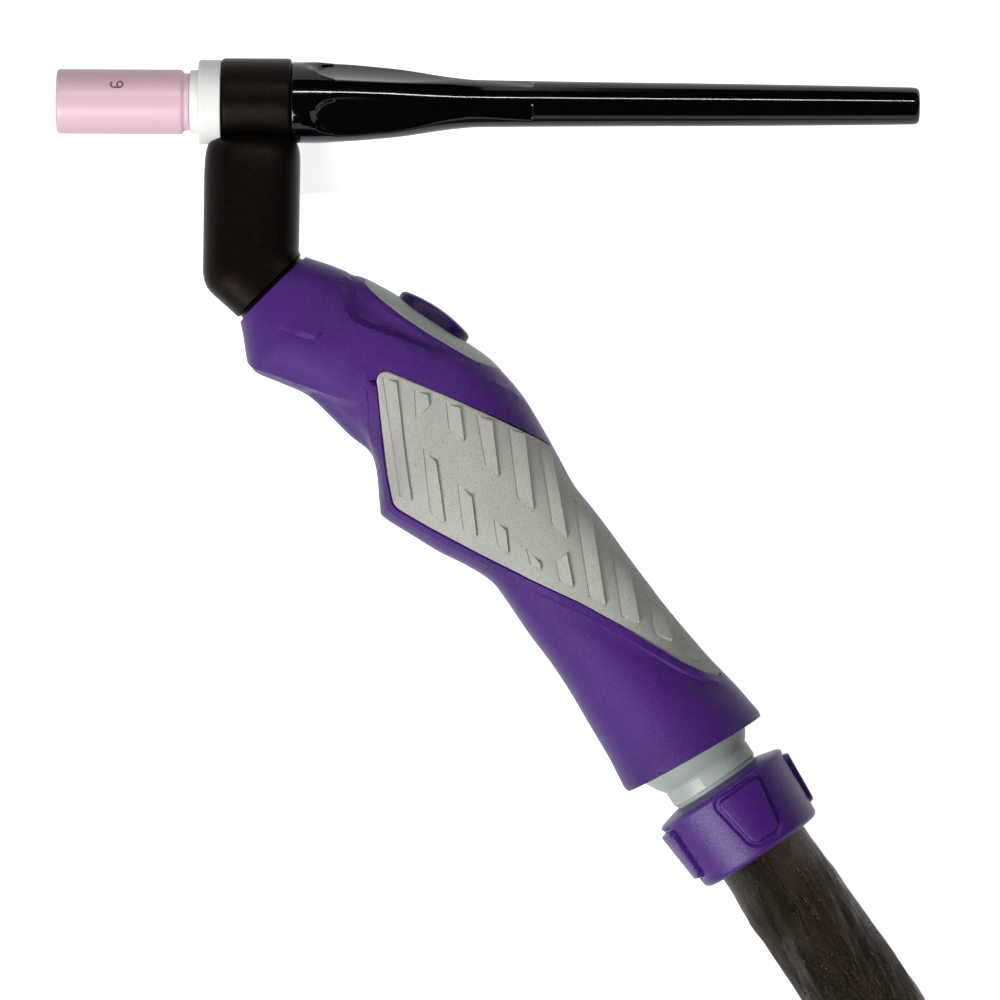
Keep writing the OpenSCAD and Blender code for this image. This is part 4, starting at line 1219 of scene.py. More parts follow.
SCREW_WELL_R, SCREW_SEAT_Z = 3.1, 9.0
WELL_SIDES = 32
LINE_STEP = 1.5
SHELL_SPACING = 1.6
SEAT_TOP, SEAT_FOOT = 0.14, 0.02  # where the wall of the panel's seat starts and ends, outside the panel
RIM_H, RIDGE_H, WEDGE_H = 0.42, 0.7, 0.7
PANEL_GAP, PANEL_T = 0.08, 1.3
PARTING_W, PARTING_D = 0.3, 0.14
RIB_START = 0.3  # how far below the panel a rib's front edge starts, as a share of its height
BUTTON_AT, BUTTON_TURN = np.array([31.2, 26.1]), math.radians(15.8)
BUTTON_L, BUTTON_W, BUTTON_PROUD, BUTTON_CROWN_R, BUTTON_FOOT = 20.3, 12.0, 3.3, 36.0, -5.8
BUTTON_EDGE_R = 1.1
BUTTON_INSETS = (0.12, 0.15, 0.2, 0.25, 0.35, 0.5, 0.7, 0.8, 0.8, 0.8, 0.7)
BEZEL_T = 1.8


def panel_loop():
    """The grip panel's outline, with its corners rounded, in distances along and round the surface."""
    corners = [PANEL_CORNERS.get(i, 0) for i in range(len(PANEL))]
    loop = soft(PANEL, corners, closed=True)
    return on_surface(fine(loop + [PANEL[0]], LINE_STEP)[:-1])


def bezel_line():
    """The bezel's lower edge on the surface, from where it leaves the spine to where it meets it again."""
    line = on_surface(fine(BEZEL_EDGE, 1.2))
    away = line[line[:, 1] > 1.0]
    first, last = 2 * away[0] - away[1], 2 * away[-1] - away[-2]
    return np.vstack([[first[0], 0], away, [last[0], 0]])


class Shell:
    """The relief of a shell: its panel seat, rims, ridges, scoops and creases."""

    def __init__(self, recess):
        self.recess = recess
        self.panel = panel_loop()
        self.rim = on_surface(fine(RIM_LINE, LINE_STEP))
        self.ridge = on_surface(fine(FRONT_RIDGE, LINE_STEP))
        self.scallop = on_surface(fine(FINGER_SCALLOP, LINE_STEP))
        scoop = on_surface(fine(THUMB_SCOOP, LINE_STEP))
        self.scoop = np.vstack([3 * scoop[0] - 2 * scoop[1], scoop, 3 * scoop[-1] - 2 * scoop[-2]])
        self.crease = on_surface(fine(SPINE_CREASE, LINE_STEP))
        self.wedge = on_surface(fine(WEDGE, 1.0))
        self.bezel = bezel_line()

    def edge(self):
        """The shell's whole edge: along the spine round the bezel, over the rear and back along the belly."""
        end = GRIP_L + REAR_L
        first, last = self.bezel[0][0], self.bezel[-1][0]
        spine = [(-NOSE_FACE, 0), (0, 0), (first, 0), *self.bezel[1:-1], (last, 0), (GRIP_L, 0), (end, 0)]
        return spine + [(end, GIRTH), (GRIP_L, GIRTH), (0, GIRTH), (-NOSE_FACE, GIRTH)]

    def lines(self):
        """The lines that the mesh follows, each with whether it is closed."""
        end = GRIP_L + REAR_L
        rows = [((x, 0), (x, GIRTH)) for x in (0, GRIP_L - RIM_BAND, GRIP_L, end - 1.66, end - 1.1)]
        seat = [(offset(self.panel, d), True) for d in (SEAT_TOP, SEAT_FOOT)]
        rim_edges = [self.outer_part(offset(self.panel, d)) for d in (RIM_W, RIM_W + 0.5)]
        parting = ((-NOSE_FACE, GIRTH - PARTING_W), (GRIP_L, GIRTH - PARTING_W))
        free = [self.ridge, self.scallop[4:], self.scoop[2:-4], self.crease]
        free += [self.wedge, self.wedge + [-0.1, 0.3]]
        return seat + [(line, False) for line in (*rim_edges, *rows, parting, *free)]

    def outer_part(self, loop):
        """The stretch of a loop round the panel that lies near the rim and away from the spine."""
        keep = (distance(loop, self.rim) < RIM_W + 0.9) & (loop[:, 1] > 12)
        start = int(np.argmax(keep & ~np.roll(keep, 1)))
        run = np.roll(np.arange(len(loop)), -start)
        run = run[: int(np.argmin(keep[run])) or len(run)]
        return loop[run]

    def rise(self, p):
        """How far the relief stands off the plain surface at every point."""
        y = p[:, 1]
        panel = distance(p, self.panel, closed=True)
        rim = distance(p, self.rim)
        to_belly = ease((GIRTH - y) / 7)
        begun = ease((np.linalg.norm(p - self.rim[-1], axis=1) - 1) / 7) * ease((y - 9) / 5)
        out = np.zeros(len(p))
        # rim round the panel's front and lower edges
        outside = begun * (panel > 0)
        out += RIM_H * outside * (1 - ease((rim - RIM_W) / 0.55)) * ease((GIRTH - y) / 2)
        valley = ease((rim - RIM_W) / 0.8) * (1 - ease((rim - RIM_W - 0.8) / 7))
        out -= 0.35 * outside * valley * to_belly * ease((p[:, 0] - 50) / 14)
        # ridge and chamfer under the nose
        ridge, under = distance(p, self.ridge), below(p, self.ridge)
        along = ease((self.ridge[-1][0] + 3 - p[:, 0]) / 12) * ease((p[:, 0] - 2) / 5)
        out += RIDGE_H * along * np.where(under, 1 - np.clip(ridge / 1.8, 0, 1), np.exp(-ridge / 4.5))
        # finger scallop
        scallop = distance(p, self.scallop)
        inside = below(p, self.scallop) * ease((p[:, 0] - self.scallop[0][0]) / 5)
        inside = inside * ease((self.scallop[-1][0] + 1 - p[:, 0]) / 5) * ease((GIRTH - y) / 8)
        out -= inside * (1.5 * ease(scallop / 5) + 0.4 * ease(scallop / 0.8))
        # thumb scoop under the bezel
        scoop = distance(p, self.scoop)
        inside = ~below(p, self.scoop) & (p[:, 0] > self.scoop[0][0] - 2) & (p[:, 0] < self.scoop[-1][0] + 2)
        to_bezel = ease(distance(p, self.bezel) / 4.0)
        depth = (0.35 + 1.15 * to_bezel) * ease(scoop / 2.6) * ease((y + 1.5) / 4.5) * to_bezel
        out -= np.where(inside, depth, 0)
        lip = np.exp(-scoop / 2.0) * ease(y / 6) * ease((self.scoop[-3][0] - p[:, 0]) / 6)
        out += 0.18 * np.where(inside, 0, lip)
        # crease above the panel
        crease = distance(p, self.crease)
        out += 0.3 * np.exp(-((crease / 1.1) ** 2)) * np.where(below(p, self.crease), 1, 0.6)
        # raised wedge on the nose
        wedge, under = distance(p, self.wedge), below(p, self.wedge)
        share = ease((p[:, 0] - self.wedge[0][0]) / 6)
        raised = np.where(under, 1 - ease(wedge / 0.25), 1 - ease(wedge / 3.4)) * WEDGE_H
        out += (raised - 0.75 * (1 - ease(wedge / 0.45))) * share * (p[:, 0] < self.wedge[:, 0].max() + 0.6)
        # fine line where the two shells meet
        out -= PARTING_D * (1 - np.clip(np.minimum(y, GIRTH - y) / PARTING_W, 0, 1))
        out *= (p[:, 0] > 0) * (p[:, 0] < GRIP_L) * 1.0
        # panel seat
        seat = np.clip((SEAT_TOP - panel) / (SEAT_TOP - SEAT_FOOT), 0, 1)
        return out * (1 - seat) - self.recess * seat


def rib_rise(p, ribs, height):
    """Louvre ribs: each rises from its front edge to its rear edge and drops sharply all round."""
    out = np.zeros(len(p))
    for loop, front, rear in ribs:
        inside = distance(p, loop, closed=True) < 0.004
        near, far = distance(p, front), distance(p, rear)
        share = near / np.maximum(near + far, 1e-6)
        out = np.where(inside, height * (share * (1 + RIB_START) - RIB_START), out)
    return out


def rib_lines(corners):
    """A rib's outline, front edge and rear edge on the surface."""
    a, b, c, d = corners
    sides = [fine(side, 0.9) for side in ((a, b), (b, c), (c, d), (d, a))]
    loop = [p for side in sides for p in side[:-1]]
    return on_surface(loop), on_surface(sides[3]), on_surface(sides[1])


def well_loop(u, v, r):
    return on_surface([(u + x, v + y) for x, y in ring_of(r, 0, 360, WELL_SIDES + 1)[:-1]])


class TORCH_OT_shells(bpy.types.Operator):
    """Make the two handle shells"""

    bl_idname = "torch.shells"
    bl_label = "Handle shells"

    def execute(self, context):
        s = context.scene.torch_handle
        relief = Shell(s.panel_recess / MM)
        finish = nylon("Nylon, spark-eroded tool", s.shell_colour)
        edge, lines = relief.edge(), relief.lines()
        upper = patch("shell_upper", edge, lines, SHELL_SPACING, relief.rise)
        lines += [(well_loop(u, v, r), True) for u, v in SCREWS for r in (SCREW_WELL_R, SCREW_WELL_R - 0.1)]
        lower = patch("shell_lower", edge, lines, SHELL_SPACING, relief.rise)
        sink_wells(lower)
        turn_over(lower)
        for shell, node in ((upper, "handle_shell_top"), (lower, "handle_shell_bottom")):
            use(shell, "SOLIDIFY", thickness=s.shell_wall, offset=-1.0, use_even_offset=False)
            done(shell, "handle", finish, "handle_purple", node, degrees=21)
        repaint(metal("Steel, zinc plated", srgb("#9A9CA0"), 0.32), "shell_screws")
        return {"FINISHED"}


def sink_wells(shell):
    """Drops the surface inside each screw well to the seat under the screw's head."""
    p = coords(shell)
    for u, v in SCREWS:
        x, y = to_torch(np.array([u, v, 0.0]))[:2]
        inside = np.hypot(p[:, 0] - x, p[:, 1] - y) < SCREW_WELL_R - 0.05
        p[inside, 2] = SCREW_SEAT_Z
    set_coords(shell, p)


class TORCH_OT_panels(bpy.types.Operator):
    """Make the two ribbed grip panels"""

    bl_idname = "torch.panels"
    bl_label = "Grip panels"

    def execute(self, context):
        s = context.scene.torch_handle
        spacing = 0.8
        height = s.rib_height / MM
        panel = panel_loop()
        ribs = [rib_lines(corners) for corners in RIBS]
        loops = [offset(panel, -0.5), offset(panel, -0.26)]
        for loop, _, _ in ribs:
            loops += [offset(loop, 0.12), loop]
        lines = [(loop, True) for loop in loops]

        def rise(p):
            edge = np.clip((-PANEL_GAP - distance(p, panel, closed=True)) / 0.42, 0, 1)
            return 0.14 - 0.45 * (1 - edge) ** 1.6 + rib_rise(p, ribs, height)

        finish = grip_finish()
        edge = offset(panel, -PANEL_GAP)
        upper = patch("grip_upper", edge, lines, spacing, rise)
        u, v = SCREWS[2]
        lower = patch("grip_lower", edge, lines + [(well_loop(u, v, SCREW_WELL_R), True)], spacing, rise)
        screw = Vector(to_torch(np.array([u, v, 0.0]))[:2]) * MM
        with loose(lower) as bm:
            off = {f: (f.calc_center_median().xy - screw).length / MM for f in bm.faces}
            gone = [f for f in bm.faces if off[f] < SCREW_WELL_R - 0.02]
            bmesh.ops.delete(bm, geom=gone, context="FACES")
        turn_over(lower)
        for piece, node in ((upper, "grip_panel_top"), (lower, "grip_panel_bottom")):
            use(piece, "SOLIDIFY", thickness=PANEL_T * MM, offset=-1.0)
            done(piece, "handle", finish, "grip_grey", node, degrees=30)
        return {"FINISHED"}


def spine_place(x, z):
    """Where a place on the button's axis (x) and off the parting plane (z) lies on the surface."""
    u = BUTTON_AT[0] + x * math.cos(BUTTON_TURN)
    s = float(np.interp(u, ROWS[:, 0], ALONG))
    row = row_at(s)
    f = math.asin(min(1.0, (z / row[4]) ** (row[5] / 2)))
    return s, float(np.interp(f, TURNS, ROUND))


def to_button(p):
    """Points of the button's own frame (x along it, y out of it, z across it) in the torch's X, Y and Z."""
    return to_torch(turned_about(p, BUTTON_AT, BUTTON_TURN))


def slot_outline(l, w, step):
    """A slot's outline round the button's axis, as x and z."""
    half = (l - w) / 2
    turn = [(half + x, z) for x, z in ring_of(w / 2, -90, 90, 17)]
    return fine(turn + [(-x, -z) for x, z in turn], step, closed=True)


class TORCH_OT_switch(bpy.types.Operator):
    """Make the bezel and the switch button in it"""

    bl_idname = "torch.switch"
    bl_label = "Switch"

    def execute(self, context):
        s = context.scene.torch_handle
        rim = bezel_line()
        r, half = BUTTON_W / 2 + 0.35, (BUTTON_L - BUTTON_W) / 2
        mouth = [(half + x, z) for x, z in ring_of(r, 0, 90, 9)]
        mouth += [(x, r) for x in np.linspace(half, -half, 7)[1:-1]]
        mouth += [(x - half, z) for x, z in ring_of(r, 90, 180, 9)]
        mouth = np.array([spine_place(x, z) for x, z in mouth])
        first, last = rim[0][0] + 0.15, rim[-1][0] - 0.15
        body = [(p[0], max(0.0, p[1] - 0.13)) for p in rim[1:-1]]
        inner = [(first + 0.3, 0.0)] + [(p[0], max(0.0, p[1] - 0.42)) for p in body] + [(last - 0.3, 0.0)]
        rim_line = np.array([(first, 0.0)] + body + [(last, 0.0)])

        def rise(p):
            away = np.minimum(distance(p, rim_line), 0.32) / 0.32
            lip = np.clip(distance(p, mouth) / 0.35, 0, 1)
            return 0.05 - 0.3 * (1 - away) ** 1.5 - 0.2 * (1 - lip) ** 1.5

        spacing = 0.55
        half_piece = patch("bezel", np.vstack([rim_line, mouth]), [(inner, False)], spacing, rise)
        bezel = join([half_piece, mirrored(half_piece, "bezel_other")], "button_surround")
        edit(bezel, merge(2e-5))
        use(bezel, "SOLIDIFY", thickness=BEZEL_T * MM, offset=-1.0)
        done(bezel, "handle", bezel_finish(), "bezel_grey", "button_bezel", degrees=34)

        done(self.button(), "button", nylon("Nylon, button", s.button_colour, depth=0.08), "button_purple",
             "switch_button", degrees=50)
        return {"FINISHED"}

    @staticmethod
    def button():
        """A slot-shaped block, inset ring by ring, with its top crowned and its edge rounded."""
        outline = slot_outline(BUTTON_L, BUTTON_W, 0.7)
        button = outlined([(x, z, 0) for x, z in outline], fill="NGON")
        up = {"value": (0, 0, 9 * MM)}
        steps = [lambda: bpy.ops.mesh.extrude_region_move(TRANSFORM_OT_translate=up)]
        steps += [lambda w=w: bpy.ops.mesh.inset(thickness=w * MM, depth=0) for w in BUTTON_INSETS]
        edit(button, *steps, face_out)
        p = coords(button)
        x, z = p[:, 0], p[:, 1]
        top = p[:, 2] > 1
        from_edge = -distance(p[:, :2], np.array(outline), closed=True)
        into = np.clip(BUTTON_EDGE_R - from_edge, 0, BUTTON_EDGE_R)
        corner = BUTTON_EDGE_R - np.sqrt(np.clip(BUTTON_EDGE_R**2 - into**2, 0, None))
        crown = BUTTON_PROUD - BUTTON_CROWN_R + np.sqrt(BUTTON_CROWN_R**2 - x**2) - 0.012 * z**2
        y = np.where(top, crown - corner * 0.75, BUTTON_FOOT)
        set_coords(button, to_button(np.stack([x, y, z], axis=1)))
        edit(button, face_out)
        return named(button, "trigger_button")


# ---------------------------------------------------------------- cup, shield, head, neck and back cap

HEAD_FROM, HEAD_TO, HEAD_BORE_R = 41.1, 58.7, 8.05
HEAD_LIFT = 0.85  # how much thicker the rubber is on the side away from the neck
NECK_LEFT = [
    (40.3, -8.0), (38.8, -9.3), (37.8, -10.6), (37.2, -12.8), (36.9, -17), (36.7, -43.7), (37.9, -46.9),
    (45.5, -53.6),
]
NECK_RIGHT = [
    (58.5, -8.0), (59.6, -9.3), (60.3, -10.6), (60.9, -12.8), (60.9, -17), (60.7, -35.5), (60.6, -37),
    (61.1, -38.0),
]
NECK_HALF = [4.6, 7.2, 8.8, 9.7, 10.0, 10.0, 10.0, 9.9]
NECK_CORNERS = [0, 0.9, 0.9, 1.6, 2.0, 2.2, 2.0, 0]
NECK_STEP, NECK_BLUNT = 1.1, 2.7
NOSE_LEFT, NOSE_RIGHT, NOSE_HALF = (46.4, -54.8), (62.3, -38.8), 11.2
GROOVE = 0.75
CAP_FROM, CAP_L = 58.8, 156.8
CAP_OUTLINE = [
    (6, 10.15), (14, 9.85), (20, 9.35), (27.6, 8.5), (36.5, 7.0), (42, 6.3), (47, 5.95), (60, 5.78),
    (77, 5.6),
    (108, 5.35), (137.2, 5.0), (155, 4.7),
]
FLUTE_FROM, FLUTE_TO, FLUTE_R, FLUTE_FLOOR, FLUTE_LEAN, FLUTE_TURN = 5.2, 60.0, 30.0, 8.2, 3.1, 25.0
FLUTE_END_R, FLUTE_BLEND = 5.2, 0.35


class TORCH_OT_cup(bpy.types.Operator):
    """Make the gas cup with its printed size number"""

    bl_idname = "torch.cup"
    bl_label = "Gas cup"

    def execute(self, context):
        s = context.scene.torch_front
        long, r, bore = s.cup_length / MM, s.cup_diameter / MM / 2, s.cup_bore / MM / 2
        shank = r - 0.9
        corners = [(0, bore), (0, r), (long - 1.9, r), (long - 1.3, shank), (long, shank), (long, bore)]
        rings = fine(soft(corners, [0.5, 1.0, 0.5, 0.3, 0.3, 0.3], steps=6, closed=True), 0.8)
        cup = turned("gas_cup", rings, steps=160, loop=True)
        done(cup, "cup", alumina(), "alumina", "gas_cup", degrees=35)
        mark = self.number(15.3, 4.1, r)
        ink = moulded("Glaze print, brown", srgb("#6E3F3A"), 0.3, 0.01, spread=0.25, rough=(0.4, 0.5))
        done(mark, "cup", ink, "alumina", degrees=None)
        return {"FINISHED"}

    @staticmethod
    def number(x, y, r):
        """A printed 6, drawn as an open stroke, laid on the cup with its top towards the cup's mouth."""
        half = 0.86
        bowl = [(half * c, 0.7 * s - 0.75) for c, s in ring_of(1, 150, -205, 26)]
        stem = [(half * c, 0.8 + 0.72 * s) for c, s in ring_of(1, 30, 178, 12)]
        line = np.array(fine(stem + [(-half, -0.6)] + bowl[1:], 0.12))
        way = unit(np.gradient(line, axis=0))
        side = np.stack([-way[:, 1], way[:, 0]], axis=1) * 0.2
        flat = np.vstack([line + side, line - side])
        n = len(line)
        faces = [(i, i + 1, n + i + 1, n + i) for i in range(n - 1)]
        a = (y + flat[:, 0]) / r
        points = np.stack([x - flat[:, 1], (r + 0.02) * np.sin(a), (r + 0.02) * np.cos(a)], axis=1)
        mark = from_points("cup_number", points, faces)
        edit(mark, face_out)
        if mark.data.polygons[0].normal.z < 0:
            mark.data.flip_normals()
        return mark


class TORCH_OT_shield(bpy.types.Operator):
    """Make the heat shield between the cup and the head"""

    bl_idname = "torch.shield"
    bl_label = "Heat shield"

    def execute(self, context):
        front, step, rear = 33.3, 35.5, HEAD_FROM
        corners = [
            (front, 4.89), (front, 8.0), (step, 8.0), (step, 10.55), (rear, 10.55), (rear, 5.79),
            (step, 5.79),
            (step, 4.89),
        ]
        rings = fine(soft(corners, [0.2, 0.5, 0.3, 0.7, 0.35, 0.1, 0.1, 0.1], steps=5, closed=True), 0.8)
        shield = turned("heat_shield_ring", rings, steps=160, loop=True)
        done(shield, "handle", ptfe(), "ptfe", "heat_shield", degrees=35)
        repaint(metal("Copper, drawn", srgb("#B4713D"), 0.34), "collet_body", "collet", "neck_tube")
        repaint(metal("Brass, cast and turned", srgb("#B9975B"), 0.4), "head_body")
        ground = metal("Tungsten, ground", srgb("#8C8F94"), 0.28, streak=(9000.0, 400.0, 400.0))
        repaint(ground, "tungsten_electrode")
        return {"FINISHED"}


class TORCH_OT_head(bpy.types.Operator):
    """Make the rubber-covered head and neck"""

    bl_idname = "torch.head"
    bl_label = "Head and neck"

    def execute(self, context):
        s = context.scene.torch_front
        r = s.head_diameter / MM / 2
        corners = [(HEAD_FROM, HEAD_BORE_R), (HEAD_FROM, r), (HEAD_TO, r), (HEAD_TO, HEAD_BORE_R)]
        rings = fine(soft(corners, [0.3, 1.3, 1.0, 0.3], steps=6, closed=True), 0.9)
        barrel = turned(
            "head_barrel", rings, steps=144, loop=True,
            shape=lambda d, r, a: (d, r + np.clip(r - 8.3, 0, 1) * HEAD_LIFT * np.cos(a)),
        )
        neck = self.neck()
        ends = (HEAD_FROM - 3, HEAD_TO + 3)
        profile = [(ends[0], 0), (ends[0], HEAD_BORE_R), (ends[1], HEAD_BORE_R), (ends[1], 0)]
        core = turned("head_core", profile)
        for kind, other in (("DIFFERENCE", core), ("UNION", barrel)):
            use(neck, "BOOLEAN", operation=kind, object=other, solver="EXACT")
            bpy.data.objects.remove(other)
        edit(named(neck, "head_and_neck"), merge(5e-6))
        done(neck, "handle", head_rubber(), "head_rubber", "head_cover", degrees=30)
        return {"FINISHED"}

    @staticmethod
    def neck():
        """The neck's stations, each a blunt oval between left and right edge, with a groove before the nose."""
        left, right = (soft(line, NECK_CORNERS, steps=5) for line in (NECK_LEFT, NECK_RIGHT))
        half = soft(list(zip(run_of(NECK_LEFT), NECK_HALF)), NECK_CORNERS, steps=5)
        rows = [(np.array(a), np.array(b), h[1]) for a, b, h in zip(left, right, half)]
        a, b, h = rows[-1]
        out = (a - b) / np.linalg.norm(a - b)
        ahead = (np.array(NOSE_LEFT) + NOSE_RIGHT - a - b) / 2
        rows.append((a - 0.25 * out + 0.12 * ahead, b + 0.25 * out + 0.12 * ahead, h - 0.2))
        rows.append((a - GROOVE * out + 0.2 * ahead, b + GROOVE * out + 0.2 * ahead, h - GROOVE))
        nose_left, nose_right = np.array(NOSE_LEFT) - GROOVE * out, np.array(NOSE_RIGHT) + GROOVE * out
        rows.append((nose_left, nose_right, NOSE_HALF - GROOVE))
        long = []
        for (a0, b0, h0), (a1, b1, h1) in zip(rows[:-1], rows[1:]):
            n = max(1, math.ceil(max(np.linalg.norm(a1 - a0), np.linalg.norm(b1 - b0)) / NECK_STEP))
            between = ((a0, a1), (b0, b1), (h0, h1))
            long += [tuple(p + (q - p) * k / n for p, q in between) for k in range(n)]
        long.append(rows[-1])
        turns = np.linspace(0, 2 * math.pi, 96, endpoint=False)
        points = []
        for a, b, h in long:
            xy = (a + b) / 2 + np.outer(power(np.cos(turns), NECK_BLUNT), (b - a) / 2)
            points.append(np.column_stack([xy, h * power(np.sin(turns), NECK_BLUNT)]))
        n, m = len(long), len(turns)
        faces = [tuple(range(m)), tuple(range(n * m - m, n * m))]
        for i in range(0, n * m - m, m):
            faces += [(i + j, i + (j + 1) % m, i + m + (j + 1) % m, i + m + j) for j in range(m)]
        neck = from_points("neck", np.vstack(points), faces)
        edit(neck, face_out)
        return neck


class TORCH_OT_cap(bpy.types.Operator):
    """Make the long back cap with its four finger flutes"""

    bl_idname = "torch.cap"
    bl_label = "Back cap"

    def execute(self, context):
        s = context.scene.torch_front
        stretch = s.cap_length / MM / CAP_L
        outline = [tuple(p) for p in spline(CAP_OUTLINE, 0.4)]
        nose = soft([(0, 9.4), (0, 10.15), (6, 10.15)], [0, 0.5, 0])
        tail = soft([(155, 4.7), (156.2, 4.55), (CAP_L, 3.9), (CAP_L, 0)], [0, 0.8, 0.6, 0])
        inside = [(153.8, 0), (153.8, 2), (-8.2, 2), (-8.2, 5.3), (0, 5.3)]
        rings = fine(inside + nose, 2.0) + outline[1:-1] + tail
        at = np.array([(CAP_FROM + d * stretch, r) for d, r in rings])
        cap = turned("back_cap_long", at, steps=240, shape=self.flutes)
        done(cap, "cap", cap_phenolic(), "cap_black", "back_cap", degrees=40)
        repaint(moulded("Rubber, O-ring", srgb("#141415"), 0.3, 0.01, rough=(0.3, 0.4)), "back_cap_o_ring")
        return {"FINISHED"}

    @staticmethod
    def flutes(x, r, a):
        """Cuts the flutes: each has a round end, a nearly flat floor that leans in, and runs out."""
        d = x - CAP_FROM
        turn = (np.degrees(a) - FLUTE_TURN + 45) % 90 - 45
        t = np.radians(turn)
        floor = FLUTE_FLOOR - np.clip(d - FLUTE_FROM, 0, None) * math.tan(math.radians(FLUTE_LEAN))
        off = floor + FLUTE_R
        inner = FLUTE_R**2 - (off * np.sin(t)) ** 2
        cut = np.where(inner > 0, off * np.cos(t) - np.sqrt(np.clip(inner, 0, None)), FAR)
        ahead = np.clip(FLUTE_FROM + FLUTE_END_R - d, 0, None)
        inset = FLUTE_END_R - np.hypot(ahead, np.where(ahead > 0, r * np.sin(t), 0))
        cut = r - (r - cut) * ease(inset / 1.3)
        h = np.clip(FLUTE_BLEND - np.abs(r - cut), 0, None) / FLUTE_BLEND * (inset > 0)
        cut_r = np.minimum(r, cut) - h * h * FLUTE_BLEND / 4 * (np.abs(turn) < 40)
        skin = (r > 3.6) & (d > 0.4) & (d < FLUTE_TO)
        line = np.exp(-(((d - 155.2) / 0.12) ** 2)) * 0.12 * (r > 3)
        return x, np.where(skin, cut_r, r) - line


# ---------------------------------------------------------------- ball stem, clamp nut and hidden works

LUG_TURN, LUG_FROM, LUG_TO = -10.0, 18.6, 32.4
LUG_HALF, LUG_CORNER = (6.3, 4.1), 1.9
NUT_R, NUT_SKIN_R = 18.1, 15.2  # the outside where the lugs stand, and what counts as outside
STEM_R, PARTING_TURN = 11.9, 104
MOAT_W, MOAT_D = 0.95, 0.55
HOSE_PATH = [
    (22.1, 1.93), (23.5, 2.05), (26, 1.7), (30, 0.5), (36, 0.5), (42, 1.8), (56, 4.6), (70, 6.6), (85, 8.3),
    (100, 9.2), (115, 9.7), (128, 9.3),
]
WIRES_PATH = [
    (42.2, 14.3), (50, 13.8), (60, 13.4), (75, 14.2), (90, 15.3), (105, 16.3), (118, 16.7), (128, 16.4),
]


